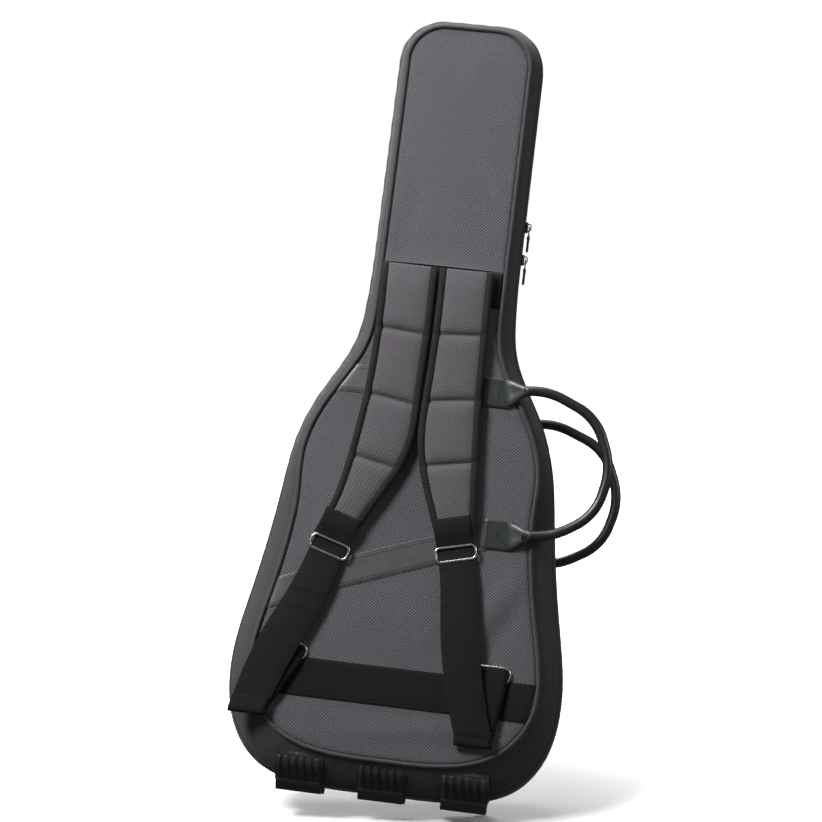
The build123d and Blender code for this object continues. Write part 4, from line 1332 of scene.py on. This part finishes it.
# ---------------------------------------------------------------- camera, floor and light
AZIMUTH, ELEVATION, ROLL = math.radians(5.0), math.radians(-9.5), math.radians(7.15)
DISTANCE, TARGET = 2.8, Vector((-0.025, 0.0, 0.520))
LENS, SENSOR = 90.7, 36.0


def camera():
    back = Vector((math.sin(AZIMUTH) * math.cos(ELEVATION), -math.cos(AZIMUTH) * math.cos(ELEVATION),
                   math.sin(ELEVATION)))
    right = Vector((math.cos(AZIMUTH), math.sin(AZIMUTH), 0.0))
    up = back.cross(right)
    tilted_right = right * math.cos(ROLL) + up * math.sin(ROLL)
    tilted_up = up * math.cos(ROLL) - right * math.sin(ROLL)
    data = bpy.data.cameras.new("camera")
    data.lens, data.sensor_width = LENS, SENSOR
    obj = bpy.data.objects.new("camera", data)
    turn = Matrix((tilted_right, tilted_up, back)).transposed().to_4x4()
    obj.matrix_world = Matrix.Translation(TARGET + back * DISTANCE) @ turn
    bpy.context.scene.collection.objects.link(obj)
    bpy.context.scene.camera = obj
    return tilted_right, tilted_up, back


def floor(right, up, back):
    """Pale ground under the leaning bag, seen from a little above."""
    tip = math.radians(7.0)
    normal = up * math.cos(tip) + back * math.sin(tip)
    ahead = normal.cross(right)
    heights = [float((np.array([v.co for v in node.data.vertices]) @ np.array(normal)).min())
               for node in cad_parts.values()]
    at = normal * (min(heights) - 0.0005)
    reach = 6.0
    corners = [at + right * (a * reach) + ahead * (b * reach)
               for a, b in ((-1, -1), (1, -1), (1, 1), (-1, 1))]
    mesh = bpy.data.meshes.new("floor")
    mesh.from_pydata([tuple(c) for c in corners], [], [(0, 1, 2, 3)])
    obj = bpy.data.objects.new("floor", mesh)
    bpy.context.scene.collection.objects.link(obj)
    s = Shader("floor_white", 0.7, specular=0.1)
    away = s.node("VectorMath", operation="DISTANCE")
    s.wire(away.inputs[0], s.place())
    away.inputs[1].default_value = tuple(at + right * 0.08)
    glow = s.node("MapRange", interpolation_type="SMOOTHSTEP")
    for socket, value in zip(glow.inputs[:5], (away.outputs["Value"], 0.20, 0.62, 0.06, 1.0)):
        s.wire(socket, value)
    s.bsdf.inputs["Emission Color"].default_value = (1.0, 1.0, 1.0, 1.0)
    s.wire(s.bsdf.inputs["Emission Strength"], glow.outputs[0])
    mesh.materials.append(s.finish((0.93, 0.93, 0.93, 1.0)))
    obj.visible_diffuse = obj.visible_glossy = False      # so that its glow doesn't light the bag


def area_light(name, place, aim, size, power):
    data = bpy.data.lights.new(name, "AREA")
    data.shape, data.size, data.energy = "DISK", size, power
    obj = bpy.data.objects.new(name, data)
    obj.location = place
    obj.rotation_euler = (Vector(aim) - Vector(place)).to_track_quat("-Z", "Y").to_euler()
    bpy.context.scene.collection.objects.link(obj)


def white_world(seen, lighting):
    world = bpy.data.worlds.new("studio")
    bpy.context.scene.world = world
    world.use_nodes = True
    tree = world.node_tree
    tree.nodes.clear()
    output = tree.nodes.new("ShaderNodeOutputWorld")
    blend = tree.nodes.new("ShaderNodeMixShader")
    path = tree.nodes.new("ShaderNodeLightPath")
    tree.links.new(path.outputs["Is Camera Ray"], blend.inputs[0])
    for socket, strength in ((1, lighting), (2, seen)):
        light = tree.nodes.new("ShaderNodeBackground")
        light.inputs["Color"].default_value = (1.0, 1.0, 1.0, 1.0)
        light.inputs["Strength"].default_value = strength
        tree.links.new(light.outputs[0], blend.inputs[socket])
    tree.links.new(blend.outputs[0], output.inputs["Surface"])


right, up, back = camera()
floor(right, up, back)
white_world(1.05, 0.12)
area_light("key", (-1.9, -2.1, 2.2), (0.0, 0.0, 0.5), 1.1, 125.0)
area_light("top", (-0.6, -0.1, 3.0), (0.0, 0.0, 0.5), 1.6, 52.0)
area_light("rim", (2.4, -0.9, 1.6), (0.1, 0.0, 0.5), 1.0, 12.0)
area_light("front", (-0.9, 2.9, 2.0), (0.0, 0.0, 0.5), 1.6, 85.0)
bpy.context.scene.view_settings.view_transform = "Standard"

bpy.context.view_layer.update()
